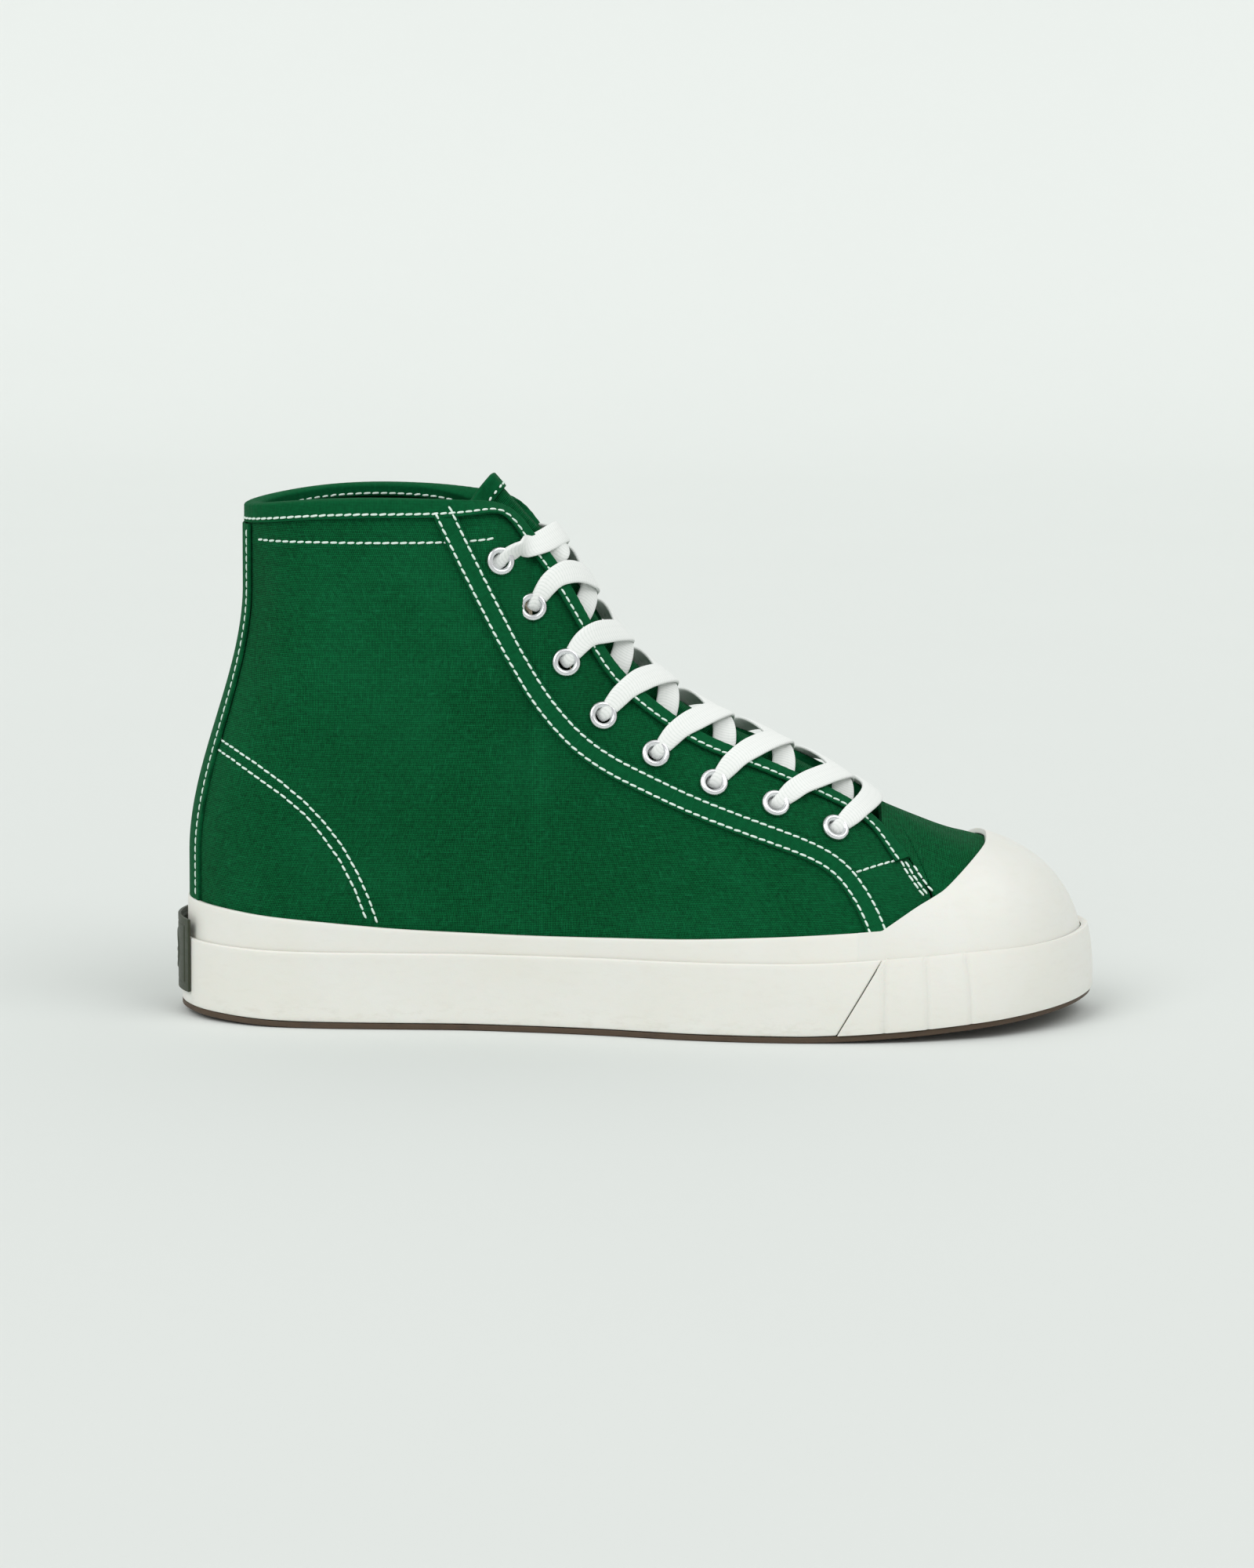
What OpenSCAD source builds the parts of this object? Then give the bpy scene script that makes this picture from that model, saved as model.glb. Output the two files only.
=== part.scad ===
// Canvas high-top sneaker, right foot, as separate sewn and bonded pieces.
// X runs from heel to toe, Y to the medial side, Z up. The origin is under the middle of the sole.

/* [Last] */
// Length of the finished shoe
shoe_len = 299; // [245:1:330]
// Width of the sole across the ball
ball_width = 106; // [88:1:125]
// Height of the collar rim at the ankle
collar_height = 170; // [140:1:190]
// Half width of the collar opening
collar_half_width = 28.5; // [24:0.5:33]
// Rise of the sole at the toe tip
toe_spring = 6.5; // [2:0.5:10]
// Rise of the sole at the back of the heel
heel_lift = 1.8; // [0:0.1:4]

/* [Sole] */
// Thickness of the rubber outsole
outsole_t = 2.2; // [1.5:0.1:4]
// Thickness of the filler above the outsole
filler_t = 8; // [5:0.5:10]
// Thickness of the insole board
board_t = 1.8; // [1.2:0.1:3]
// Thickness of the sock liner
liner_t = 3; // [2:0.5:4]
// Thickness of the tall inner foxing band
band_t = 1.7; // [1.2:0.1:2.5]
// Thickness of the lower outer foxing band
outer_band_t = 1.6; // [1.2:0.1:2.5]
// Height of the lower band above the floor
outer_band_z = 25; // [18:0.5:27]
// Thickness of the rubber toe cap
cap_t = 1.8; // [1.2:0.1:2.5]
// Thickness of the toe bumper
bumper_t = 2.2; // [1.6:0.1:3]
// Length of the toe cap along its top
cap_len = 44; // [36:1:50]
// Height of the heel label
label_h = 24; // [16:1:26]
// Width of the heel label round the heel
label_w = 28; // [20:1:34]
// Thickness of the heel label
label_t = 1.2; // [0.8:0.1:2]

/* [Upper] */
// Thickness of the outer canvas
canvas_t = 1.2; // [0.8:0.1:1.6]
// Thickness of the stiffeners between canvas and lining
stiff_t = 0.8; // [0.5:0.1:1.2]
// Thickness of the lining
lining_t = 0.8; // [0.5:0.1:1.2]
// Thickness of the sewn-on tapes
tape_t = 0.7; // [0.5:0.1:1]
// Width of the tape beside the eyelets
tape_w = 7; // [5:0.5:9]
// Width of the heel strip
strip_w = 20; // [14:1:24]
// Depth of the folded edge bindings
binding_w = 5.2; // [4:0.2:6]
// Thickness of the tongue
tongue_t = 2.4; // [1.5:0.1:3]
// Half width of the tongue across its middle
tongue_half_width = 27; // [22:1:30]
// Reach of the tongue above the collar corner
tongue_rise = 21; // [10:1:24]

/* [Lacing] */
// Number of eyelets on each side
eyelet_count = 8; // [6:1:8]
// Distance from one eyelet to the next
eyelet_pitch = 20.9; // [17:0.1:21.4]
// Distance of the eyelets from the throat edge
eyelet_inset = 18; // [15:0.5:19]
// Radius of the eyelet bore
bore_r = 2.6; // [2:0.1:3]
// Radius of the eyelet flange
flange_r = 4.6; // [4:0.1:5.5]
// Width of the flat lace
lace_w = 7.4; // [5:0.2:8]
// Thickness of the flat lace
lace_t = 1.3; // [1:0.1:1.6]
// Radius of a lace tip
aglet_r = 1.6; // [1.2:0.1:2]
// Length of a lace tip
aglet_len = 18; // [12:1:24]

/* [Fits] */
// Gap between curved layers
layer_gap = 0.35; // [0.2:0.05:0.5]
// Gap under the tapes and bindings
trim_gap = 0.55; // [0.4:0.05:0.7]
// Glue line on top of the outsole
glue_t = 0.2; // [0.1:0.05:0.4]
// Gap between pieces that butt edge to edge
butt_gap = 0.4; // [0.2:0.05:0.8]

/* [Hidden] */

// Grading: the outlines below are for a shoe of these three sizes, and scale with the real ones.
kx = shoe_len / 299;
ky = ball_width / 106;
kz = collar_height / 170;
wall_out = layer_gap + band_t + layer_gap + outer_band_t;

// Plan of the last at the sole, heel to toe: x, lateral half width, medial half width.
plan = [[-145.5, 0, 0], [-143, 11, 11], [-135, 21, 21], [-119, 29, 29], [-99, 31.5, 31],
    [-76, 32, 30.5], [-54, 32.5, 30], [-33, 35, 30], [-20, 37, 30.5], [-5, 40, 32], [18, 45.5, 36],
    [41, 48.5, 41], [63, 49, 44.5], [82, 48, 46], [98, 45, 45], [116, 38.5, 40.5], [131, 27, 32],
    [141, 12.5, 20.5], [145.5, -5, 5]];
// Height of the collar rim, then of the instep ridge, at the same stations.
crest = [166.5, 166.8, 167.6, 169, 170, 170.2, 169.2, 165, 150, 125.5, 104.5, 93, 82, 69.5,
    66, 63.5, 62, 61, 61];
// Top edge of the tall foxing band at the same stations.
band_top = [38.4, 38.2, 37.6, 36, 34.4, 32.6, 31.6, 31.2, 31.2, 31.4, 32, 33, 33.8, 34.4, 35, 35.5,
    36, 36, 36];
last_i = len(plan) - 1;
turns = 2 * last_i;

collar_back = -126.2 * kx;
collar_mid = -85 * kx;
collar_front = -33 * kx;
pole = [80 * kx, 0, 70 * kz];
flat_from = -100 * kx;
flat_to = 55 * kx;
feather_rise = outsole_t + filler_t + layer_gap;

lining_in = canvas_t + stiff_t + lining_t + 2 * layer_gap;
stiff_out = -canvas_t - layer_gap;
cap_x0 = 70 * kx;
cap_y = 46 * ky;

function smooth(a) = let (c = min(1, max(0, a))) c * c * (3 - 2 * c);
function spline(a, b, c, d, f) = 0.5 * ((2 * b) + (c - a) * f
    + (2 * a - 5 * b + 4 * c - d) * f * f + (3 * b - a - 3 * c + d) * f * f * f);
function wrap(i) = (i % turns + turns) % turns;
function fold(i) = let (w = wrap(i)) w <= last_i ? w : turns - w;
function round_loop(list, q) = let (i = floor(q))
    spline(list[wrap(i - 1)], list[wrap(i)], list[wrap(i + 1)], list[wrap(i + 2)], q - i);

outline = [for (i = [0:turns - 1]) let (p = plan[fold(i)])
    [p[0] * kx, (i <= last_i ? -p[1] : p[2]) * ky]];
crest_loop = [for (i = [0:turns - 1]) crest[fold(i)] * kz];
band_loop = [for (i = [0:turns - 1]) band_top[fold(i)]];

// Height of the underside of the sole above the floor.
function sole_rise(x) = x > flat_to ? toe_spring * pow((x - flat_to) / (145.5 * kx - flat_to), 1.3)
    : x < flat_from ? heel_lift * pow((flat_from - x) / (145.5 * kx + flat_from), 2) : 0;
function rib_power(x) = 2.2 - 0.25 * smooth((x / kx - 40) / 40) + 0.75 * smooth((x / kx - 105) / 40);
function rib_blend(x) = smooth((x / kx + 115) / 75);
function top_x(x) = x < collar_mid
    ? collar_mid + (x - collar_mid) * (collar_back - collar_mid) / (-145.5 * kx - collar_mid)
    : min(x, pole[0]);
function top_y(x) = x < collar_mid
    ? collar_half_width
        * pow(max(0, 1 - pow(abs((x - collar_mid) / (collar_back - collar_mid)), 2.2)), 0.4545)
    : x < collar_front
    ? collar_half_width * pow(1 - pow((x - collar_mid) / (collar_front - collar_mid), 2), 0.75)
    : 0;
function heel_curve(v) = 0.93 * smooth((v - 0.30) / 0.54) + 0.07 * v;
function rib_in(w, n, v) = (1 - w) * heel_curve(v) + w * (1 - pow(max(0, cos(90 * v)), 2 / n));
function rib_up(w, n, v) = (1 - w) * v + w * pow(max(0, sin(90 * v)), 2 / n);

// A point of the last: q counts stations round the shoe, v climbs from the sole to the top line.
function last_at(q, v) = let (b = round_loop(outline, q), x = b[0], z = outsole_t + sole_rise(x),
    sgn = wrap(q) < last_i ? -1 : 1, tx = top_x(x), ty = sgn * top_y(tx), tz = round_loop(crest_loop, q),
    w = rib_blend(x), n = rib_power(x), h = rib_in(w, n, v), g = rib_up(w, n, v),
    r = x > pole[0] ? norm([b[0] - tx, b[1] - ty]) * (1 - h) : 0,
    hump = x > pole[0] ? (pole[2] - tz) * pow(max(0, 1 - r / (28 * kx)), 1.6) : 0)
    [x + (tx - x) * h, b[1] + (ty - b[1]) * h, z + (tz - z) * g + hump];
function unit(a) = a / norm(a);
function normal_at(q, v) = let (w = min(v, 0.975), d = 0.02,
    lo = max(0.002, w - d), hi = min(0.985, w + d))
    unit(cross(last_at(q + d, w) - last_at(q - d, w), last_at(q, hi) - last_at(q, lo)));
function skin(q, v, t) = last_at(q, v) + t * normal_at(q, v);

// Station numbers for a given x, and v for a given height or plan place.
half_table = [for (q = [0:0.125:last_i]) [round_loop(outline, q)[0], q]];
function station(side, x) = let (q = lookup(x, half_table)) side < 0 ? q : turns - q;
function bisect_z(q, z, a, b, k) = let (m = (a + b) / 2) k == 0 ? m
    : last_at(q, m)[2] < z ? bisect_z(q, z, m, b, k - 1) : bisect_z(q, z, a, m, k - 1);
function v_at_z(q, z) = bisect_z(q, z, 0, 1, 13);

// Edge of the quarters in plan: down the throat, then out to the toe cap.
throat = [[-43.5, 13.6], [-36, 12.8], [-28, 13.2], [-20, 15.5], [-8, 18], [8, 19.5], [26, 20.5],
    [46, 20.5], [62, 19], [74, 17], [81, 19], [88, 25], [95, 32], [101, 37], [107, 41]];
throat_fine = [for (i = [1:len(throat) - 3], f = [0:0.25:0.99])
    spline(throat[i - 1], throat[i], throat[i + 1], throat[i + 2], f)];
throat_line = concat([[throat[0][0], throat[0][1]]], throat_fine);
throat_table = [for (p = throat_line) [p[0] * kx, p[1] * ky]];
corner_x = throat[0][0] * kx;
front_x = 101 * kx;
function medial_share(side) = side < 0 ? 1 : 0.78;
function edge_y(side, x) = lookup(x, throat_table) * medial_share(side);
function cap_edge_x(y) = cap_x0 + cap_len * kx * pow(max(0, 1 - pow(min(1, abs(y) / cap_y), 2.6)), 0.9);
function past_edge(side, q, v) = let (p = last_at(q, v))
    p[0] > corner_x && abs(p[1]) < edge_y(side, p[0]);
function past_cap(q, v) = let (p = last_at(q, v)) p[0] < cap_edge_x(p[1]);
function bisect_edge(side, q, a, b, k) = let (m = (a + b) / 2) k == 0 ? a
    : past_edge(side, q, m) ? bisect_edge(side, q, a, m, k - 1) : bisect_edge(side, q, m, b, k - 1);
function bisect_cap(q, a, b, k) = let (m = (a + b) / 2) k == 0 ? m
    : past_cap(q, m) ? bisect_cap(q, a, m, k - 1) : bisect_cap(q, m, b, k - 1);
function v_edge(side, q) = bisect_edge(side, q, 0, 1, 12);
function v_cap(q) = max(bisect_cap(q, 0, 1, 12), v_at_z(q, round_loop(band_loop, q)));
function v_feather(q) = v_at_z(q, feather_rise + sole_rise(round_loop(outline, q)[0]));
function lerp(a, b, f) = a + (b - a) * f;

// A closed sheet from a grid of [q, v] places, between the offsets t0 (inner) and t1 (outer).
module sheet(grid, t0, t1) {
    n = len(grid);
    m = len(grid[0]);
    inner = [for (row = grid, p = row) skin(p[0], p[1], t0)];
    outer = [for (row = grid, p = row) skin(p[0], p[1], t1)];
    slab(inner, outer, n, m);
}

// A closed slab between two point grids of n rows and m columns.
module slab(inner, outer, n, m) {
    o = n * m;
    cells = [for (i = [0:n - 2], j = [0:m - 2]) i * m + j];
    faces = concat(
        [for (c = cells) [o + c, o + c + 1, o + c + m + 1]],
        [for (c = cells) [o + c, o + c + m + 1, o + c + m]],
        [for (c = cells) [c, c + m + 1, c + 1]],
        [for (c = cells) [c, c + m, c + m + 1]],
        [for (i = [0:n - 2]) let (a = i * m) [a, o + a, o + a + m]],
        [for (i = [0:n - 2]) let (a = i * m) [a, o + a + m, a + m]],
        [for (i = [0:n - 2]) let (a = i * m + m - 1) [a, o + a + m, o + a]],
        [for (i = [0:n - 2]) let (a = i * m + m - 1) [a, a + m, o + a + m]],
        [for (j = [0:m - 2]) [j, o + j + 1, o + j]],
        [for (j = [0:m - 2]) [j, j + 1, o + j + 1]],
        [for (j = [0:m - 2]) let (a = (n - 1) * m + j) [a, o + a, o + a + 1]],
        [for (j = [0:m - 2]) let (a = (n - 1) * m + j) [a, o + a + 1, a + 1]]);
    polyhedron(concat(inner, outer), faces, convexity = 10);
}

// A closed tube through rings of equal length; the ends are fan-closed.
module tube(rings) {
    n = len(rings);
    m = len(rings[0]);
    pts = [for (r = rings, p = r) p];
    sides = [for (i = [0:n - 2], j = [0:m - 1]) [i * m + j, i * m + (j + 1) % m]];
    faces = concat(
        [for (s = sides) [s[0], s[1], s[1] + m]],
        [for (s = sides) [s[0], s[1] + m, s[0] + m]],
        [for (j = [1:m - 2]) [0, j + 1, j]],
        [for (j = [1:m - 2]) let (a = (n - 1) * m) [a, a + j, a + j + 1]]);
    polyhedron(pts, faces, convexity = 12);
}

// A strip of section points [t, e] swept along places [q, v]: t is off the last, e across the strip.
function frames(path, flip) = let (pts = [for (p = path) last_at(p[0], p[1])], k = len(pts) - 1)
    [for (i = [0:k]) let (n = normal_at(path[i][0], path[i][1]),
        d = unit(pts[min(k, i + 1)] - pts[max(0, i - 1)]), e = unit(cross(n, d)) * flip)
        [pts[i], n, e]];
module strip(path, section, flip) {
    tube([for (f = frames(path, flip)) [for (s = section) f[0] + f[1] * s[0] + f[2] * s[1]]]);
}
flat_tape = [[trim_gap, -tape_w / 2], [trim_gap + tape_t, -tape_w / 2],
    [trim_gap + tape_t, tape_w / 2], [trim_gap, tape_w / 2]];
fold_out = trim_gap;
fold_depth = binding_w * 0.6;
// Section of an edge binding folded over a stack whose inner face is at depth a.
function fold_ring(a) = [[fold_out, -binding_w], [fold_out + tape_t, -binding_w],
    [fold_out + tape_t, layer_gap + tape_t], [a - tape_t, layer_gap + tape_t],
    [a - tape_t, -fold_depth], [a, -fold_depth], [a, layer_gap], [fold_out, layer_gap]];
fold_section = fold_ring(-lining_in - trim_gap);

// Sole plates: the plan outline crossed with the side profile of the sole.
function plan_ring(t) = [for (q = [0:0.25:turns - 0.25])
    let (a = round_loop(outline, q), d = unit(round_loop(outline, q + 0.05) - round_loop(outline, q - 0.05)))
    [a[0] + d[1] * t, a[1] - d[0] * t]];
profile_x = concat([for (i = [5:-1:0]) flat_from - 12 * kx * i], [for (i = [0:11]) flat_to + 9 * kx * i]);
module plate(t, z0, z1) {
    intersection() {
        translate([0, 0, -1]) linear_extrude(height = collar_height) polygon(plan_ring(t));
        rotate([90, 0, 0]) linear_extrude(height = 2 * ball_width, center = true)
            polygon(concat([for (x = profile_x) [x, z0 + sole_rise(x)]],
                [for (i = [len(profile_x) - 1:-1:0]) [profile_x[i], z1 + sole_rise(profile_x[i])]]));
    }
}

module outsole() {
    color("saddlebrown") plate(wall_out, 0, outsole_t - glue_t);
}
module midsole_filler() {
    color("wheat") plate(-layer_gap, outsole_t, outsole_t + filler_t);
}
board_z = outsole_t + filler_t + butt_gap;
module insole_board() {
    color("tan") plate(-lining_in - 1.2, board_z, board_z + board_t);
}
liner_z = board_z + board_t + butt_gap;
module sock_liner() {
    color("ivory") plate(-lining_in - 1.6, liner_z, liner_z + liner_t);
}

// Bands round the sole; the joints with the toe cap and bumper lean forward as they climb.
band_joint_x = 72 * kx;
// Stations from a to b, with the same inner ones for every band so that their facets lie parallel.
function shared_q(a, b) = concat([a], [for (q = [ceil(a * 3 + 0.4) / 3:1 / 3:b - 0.13]) q], [b]);
function rear_q(x) = shared_q(station(1, x), station(-1, x) + turns);
module foxing_inner() {
    color("oldlace") sheet([for (j = [0:3]) [for (q = rear_q(band_joint_x - butt_gap))
        [q, v_at_z(q, round_loop(band_loop, q)) * j / 3]]], layer_gap, layer_gap + band_t);
}
bumper_joint_x = 66 * kx;
bumper_lean = 14 * kx;
outer_in = 2 * layer_gap + max(band_t, cap_t);
module foxing_outer() {
    count = len(rear_q(bumper_joint_x));
    color("oldlace") sheet([for (j = [0:3]) let (qs = rear_q(bumper_joint_x),
            a = station(1, bumper_joint_x - butt_gap + bumper_lean * j / 3),
            b = station(-1, bumper_joint_x - butt_gap + bumper_lean * j / 3) + turns)
        [for (i = [0:count - 1]) let (q = i == 0 ? a : i == count - 1 ? b : qs[i],
            rise = sole_rise(round_loop(outline, q)[0]))
        [q, v_at_z(q, outer_band_z + rise / 2) * j / 3]]], outer_in, outer_in + outer_band_t);
}
module toe_bumper() {
    qs = shared_q(station(-1, bumper_joint_x + bumper_lean),
        station(1, bumper_joint_x + bumper_lean));
    count = len(qs);
    color("oldlace") sheet([for (j = [0:3]) let (x = bumper_joint_x + bumper_lean * j / 3)
        [for (i = [0:count - 1])
        let (q = i == 0 ? station(-1, x) : i == count - 1 ? station(1, x) : qs[i],
            rise = sole_rise(round_loop(outline, q)[0]))
        [q, v_at_z(q, outer_band_z + rise / 2) * j / 3]]], outer_in, outer_in + bumper_t);
}
module toe_cap() {
    color("oldlace") sheet([for (j = [0:9])
        [for (q = shared_q(station(-1, band_joint_x), station(1, band_joint_x)))
        [q, v_cap(q) * j / 9]]], layer_gap, layer_gap + cap_t);
}
// Distance round the back of the heel from one station to the next.
heel_step = 10.8 * ky;
label_top = 32;
module heel_label() {
    half = label_w / 2 / heel_step;
    color("darkolivegreen") sheet([for (j = [0:3]) [for (i = [0:10])
        let (q = turns + lerp(-half, half, i / 10), z = lerp(label_top - label_h, label_top, j / 3))
        [q, v_at_z(q, z)]]], outer_in + outer_band_t + layer_gap,
        outer_in + outer_band_t + layer_gap + label_t);
}

// Canvas panels.
quarter_n = 34;
function quarter_q(side, i) = let (back = side < 0 ? 0.02 : turns - 0.02)
    lerp(back, station(side, front_x), i / quarter_n);
function quarter_grid(side) = [for (j = [0:11]) [for (i = [0:quarter_n])
    let (q = quarter_q(side, i), a = v_feather(q), b = v_edge(side, q)) [q, lerp(a, b, j / 11)]]];
module panel(side, t0, t1) {
    g = quarter_grid(side);
    sheet(side < 0 ? g : [for (row = g) [for (i = [quarter_n:-1:0]) row[i]]], t0, t1);
}
module pierced(side) {
    difference() {
        children();
        for (f = eyelet_frames(side)) aim(f) cylinder(r = bore_r + 0.9, h = 14, center = true, $fn = 20);
    }
}
module quarter_lateral() {
    color("darkgreen") pierced(-1) panel(-1, -canvas_t, 0);
}
module quarter_medial() {
    color("darkgreen") pierced(1) panel(1, -canvas_t, 0);
}
module lining_lateral() {
    color("seagreen") pierced(-1) panel(-1, -lining_in, -lining_in + lining_t);
}
module lining_medial() {
    color("seagreen") pierced(1) panel(1, -lining_in, -lining_in + lining_t);
}

// The vamp fans out from the foot of the throat and runs under the toe cap.
module vamp() {
    qa = station(-1, pole[0] + 1);
    qb = station(1, pole[0] + 1);
    color("green") sheet([for (j = [0:11]) [for (i = [0:40])
        let (q = lerp(qa, qb, i / 40), side = wrap(q) < last_i ? -1 : 1, x = round_loop(outline, q)[0],
            low = x < front_x + 1 ? v_edge(side, q) + 0.035 : v_feather(q))
        [q, lerp(low, 0.93, j / 11)]]], -canvas_t, 0);
}

// Stiffeners between canvas and lining.
counter_span = 5.2;
counter_back_z = 84;
counter_wing_z = 52;
module heel_counter() {
    color("beige") sheet([for (j = [0:5]) [for (i = [0:24])
        let (f = i / 24 * 2 - 1, q = turns + f * counter_span, x = abs(f), a = v_feather(q),
            b = v_at_z(q, lerp(counter_back_z, counter_wing_z, smooth((x - 0.35) / 0.65)) * kz))
        [q, lerp(a, b, j / 5)]]], stiff_out - stiff_t, stiff_out);
}
function sample_throat(side) = let (line = [for (p = throat_table) if (p[0] <= 88 * kx) p])
    [for (p = line) let (q = station(side, p[0])) [q, v_edge(side, q)]];

// Arc length along the throat edge, and the eyelets set back from it.
function run(pts, i) = i == 0 ? 0 : run(pts, i - 1) + norm(pts[i] - pts[i - 1]);
first_eyelet = 14;
function eyelet_row(side) = [for (f = frames(sample_throat(side), -side))
    let (p = f[0] - f[2] * eyelet_inset, q = station(side, p[0])) [q, v_at_z(q, p[2])]];
function eyelet_places(side) = let (row = eyelet_row(side), pts = [for (p = row) last_at(p[0], p[1])],
    arc = [for (i = [0:len(pts) - 1]) [run(pts, i), i]])
    [for (k = [0:eyelet_count - 1]) let (s = lookup(first_eyelet + k * eyelet_pitch, arc), i = floor(s))
        lerp(row[i], row[i + 1], s - i)];
function eyelet_frames(side) = [for (p = eyelet_places(side))
    [last_at(p[0], p[1]), normal_at(p[0], p[1])]];
module aim(f) {
    n = f[1];
    translate(f[0]) rotate([0, acos(n[2]), atan2(n[1], n[0])]) children();
}

stay_from = -57;
stay_to = 76;
stay_cols = 32;
stay_rows = 5;
module eyestay(side) {
    grid = [for (j = [0:stay_rows]) [for (i = [0:stay_cols])
        let (x = lerp(stay_from, stay_to, i / stay_cols), q = station(side, x * kx),
            a = v_at_z(q, lookup(x, tape_table) * kz) + 0.01, b = v_edge(side, q) - 0.008)
        [q, lerp(a, b, j / stay_rows)]]];
    pierced(side) sheet(side < 0 ? grid : [for (row = grid) [for (i = [stay_cols:-1:0]) row[i]]],
        stiff_out - stiff_t, stiff_out);
}
module eyestay_lateral() {
    color("beige") eyestay(-1);
}
module eyestay_medial() {
    color("beige") eyestay(1);
}

// Tape beside the eyelets, in side view: x and height.
tape_points = [[-62, 170], [-59, 162.5], [-48.3, 141], [-36.5, 118], [-28, 105], [-18, 93.8],
    [-8, 86.5], [2, 81.5], [19.5, 73.5], [37, 67], [54.5, 60.5], [65, 55], [71, 48.5], [74.5, 43],
    [76.5, 39.5], [78, 36]];
tape_line = [for (i = [1:len(tape_points) - 3], f = [0:0.34:0.99])
    spline(tape_points[i - 1], tape_points[i], tape_points[i + 1], tape_points[i + 2], f)];
tape_table = [for (p = tape_line) [p[0], p[1]]];
module tape(side) {
    strip([for (p = tape_line) let (q = station(side, p[0] * kx)) [q, v_at_z(q, p[1] * kz)]],
        flat_tape, side);
}
module tape_lateral() {
    color("forestgreen") tape(-1);
}
module tape_medial() {
    color("forestgreen") tape(1);
}
module heel_strip() {
    half = strip_w / 2 / heel_step;
    color("forestgreen") sheet([for (j = [0:24]) [for (i = [0:6])
        let (q = turns + lerp(-half, half, i / 6), a = v_at_z(q, round_loop(band_loop, q)) + 0.006)
        [q, lerp(a, 0.955, j / 24)]]], layer_gap, layer_gap + tape_t);
}
module collar_binding() {
    a = station(1, corner_x - 1);
    b = station(-1, corner_x - 1) + turns;
    color("forestgreen") strip([for (i = [0:60]) [lerp(a, b, i / 60), 1]], fold_section, 1);
}
module throat_binding(side) {
    path = [for (p = throat_table) if (p[0] > corner_x + 2 && p[0] < front_x - 4 * kx)
        let (q = station(side, p[0])) [q, v_edge(side, q)]];
    strip(path, fold_section, -side);
}
module throat_binding_lateral() {
    color("forestgreen") throat_binding(-1);
}
module throat_binding_medial() {
    color("forestgreen") throat_binding(1);
}

// The tongue: s is x along the instep, and below tongue_top_x it climbs past the collar; f runs across.
tongue_top_x = -30 * kx;
tongue_foot_x = 79 * kx;
tongue_up = unit([-0.66, 0, 0.755]);
tongue_dip = 4.8;
tongue_crest = -3.6;
wing_back = 13;
wing_out = 5;
wing_up = 4;
function tongue_half(x) = tongue_half_width * (1 - 0.26 * smooth((-x / kx - 5) / 25)
    - 0.3 * smooth((x / kx - 35) / 50));
function ridge_v(q, side, x, y) = let (b = abs(round_loop(outline, q)[1]), c = min(1, abs(y) / b))
    acos(pow(c, rib_power(x) / 2)) / 90;
function level(n, y) = abs(y) < 0.01 ? unit([n[0], 0, n[2]]) : n;
function tongue_at(s, f, t) = let (x = max(s, tongue_top_x), k = max(0, tongue_top_x - s),
    y = f * tongue_half(x), side = y < 0 ? -1 : 1, q = station(side, x), v = ridge_v(q, side, x, y),
    n = level(normal_at(q, v), y), dip = tongue_dip * smooth((abs(y) / edge_y(side, x) - 0.25) / 0.6))
    last_at(q, v) + n * (tongue_crest - dip + t) + tongue_up * k
    + [-wing_back * f * f, wing_out * f, wing_up * f * f] * (k / tongue_rise);
tongue_cols = 14;
tongue_rows = concat([for (k = [3:-1:1]) tongue_top_x - tongue_rise * k / 3],
    [for (i = [0:16]) lerp(tongue_top_x, tongue_foot_x, i / 16)]);
module tongue() {
    inner = [for (s = tongue_rows, j = [0:tongue_cols]) tongue_at(s, j / tongue_cols * 2 - 1, -tongue_t)];
    outer = [for (s = tongue_rows, j = [0:tongue_cols]) tongue_at(s, j / tongue_cols * 2 - 1, 0)];
    color("seagreen") slab(outer, inner, len(tongue_rows), tongue_cols + 1);
}
module tongue_binding() {
    s = tongue_rows[0];
    color("forestgreen") tube([for (j = [0:20])
        let (f = j / 20 * 2 - 1, o = tongue_at(s, f, 0), n = unit(o - tongue_at(s, f, -tongue_t)),
            e = unit(o - tongue_at(s + 2, f, 0)))
        [for (c = fold_ring(-tongue_t - layer_gap)) o + n * c[0] + e * c[1]]]);
}
module eyelet() {
    top = layer_gap + 0.2;
    low = -lining_in - layer_gap - 0.2;
    rotate_extrude($fn = 48) polygon([[bore_r, low - 0.6], [flange_r - 0.8, low - 0.6],
        [flange_r - 0.5, low], [bore_r + 0.5, low], [bore_r + 0.5, top], [flange_r, top],
        [flange_r - 0.4, top + 0.7], [bore_r + 0.5, top + 0.9], [bore_r, top + 0.6]]);
}
module eyelets_lateral() {
    color("silver") for (f = eyelet_frames(-1)) aim(f) eyelet();
}
module eyelets_medial() {
    color("silver") for (f = eyelet_frames(1)) aim(f) eyelet();
}

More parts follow.
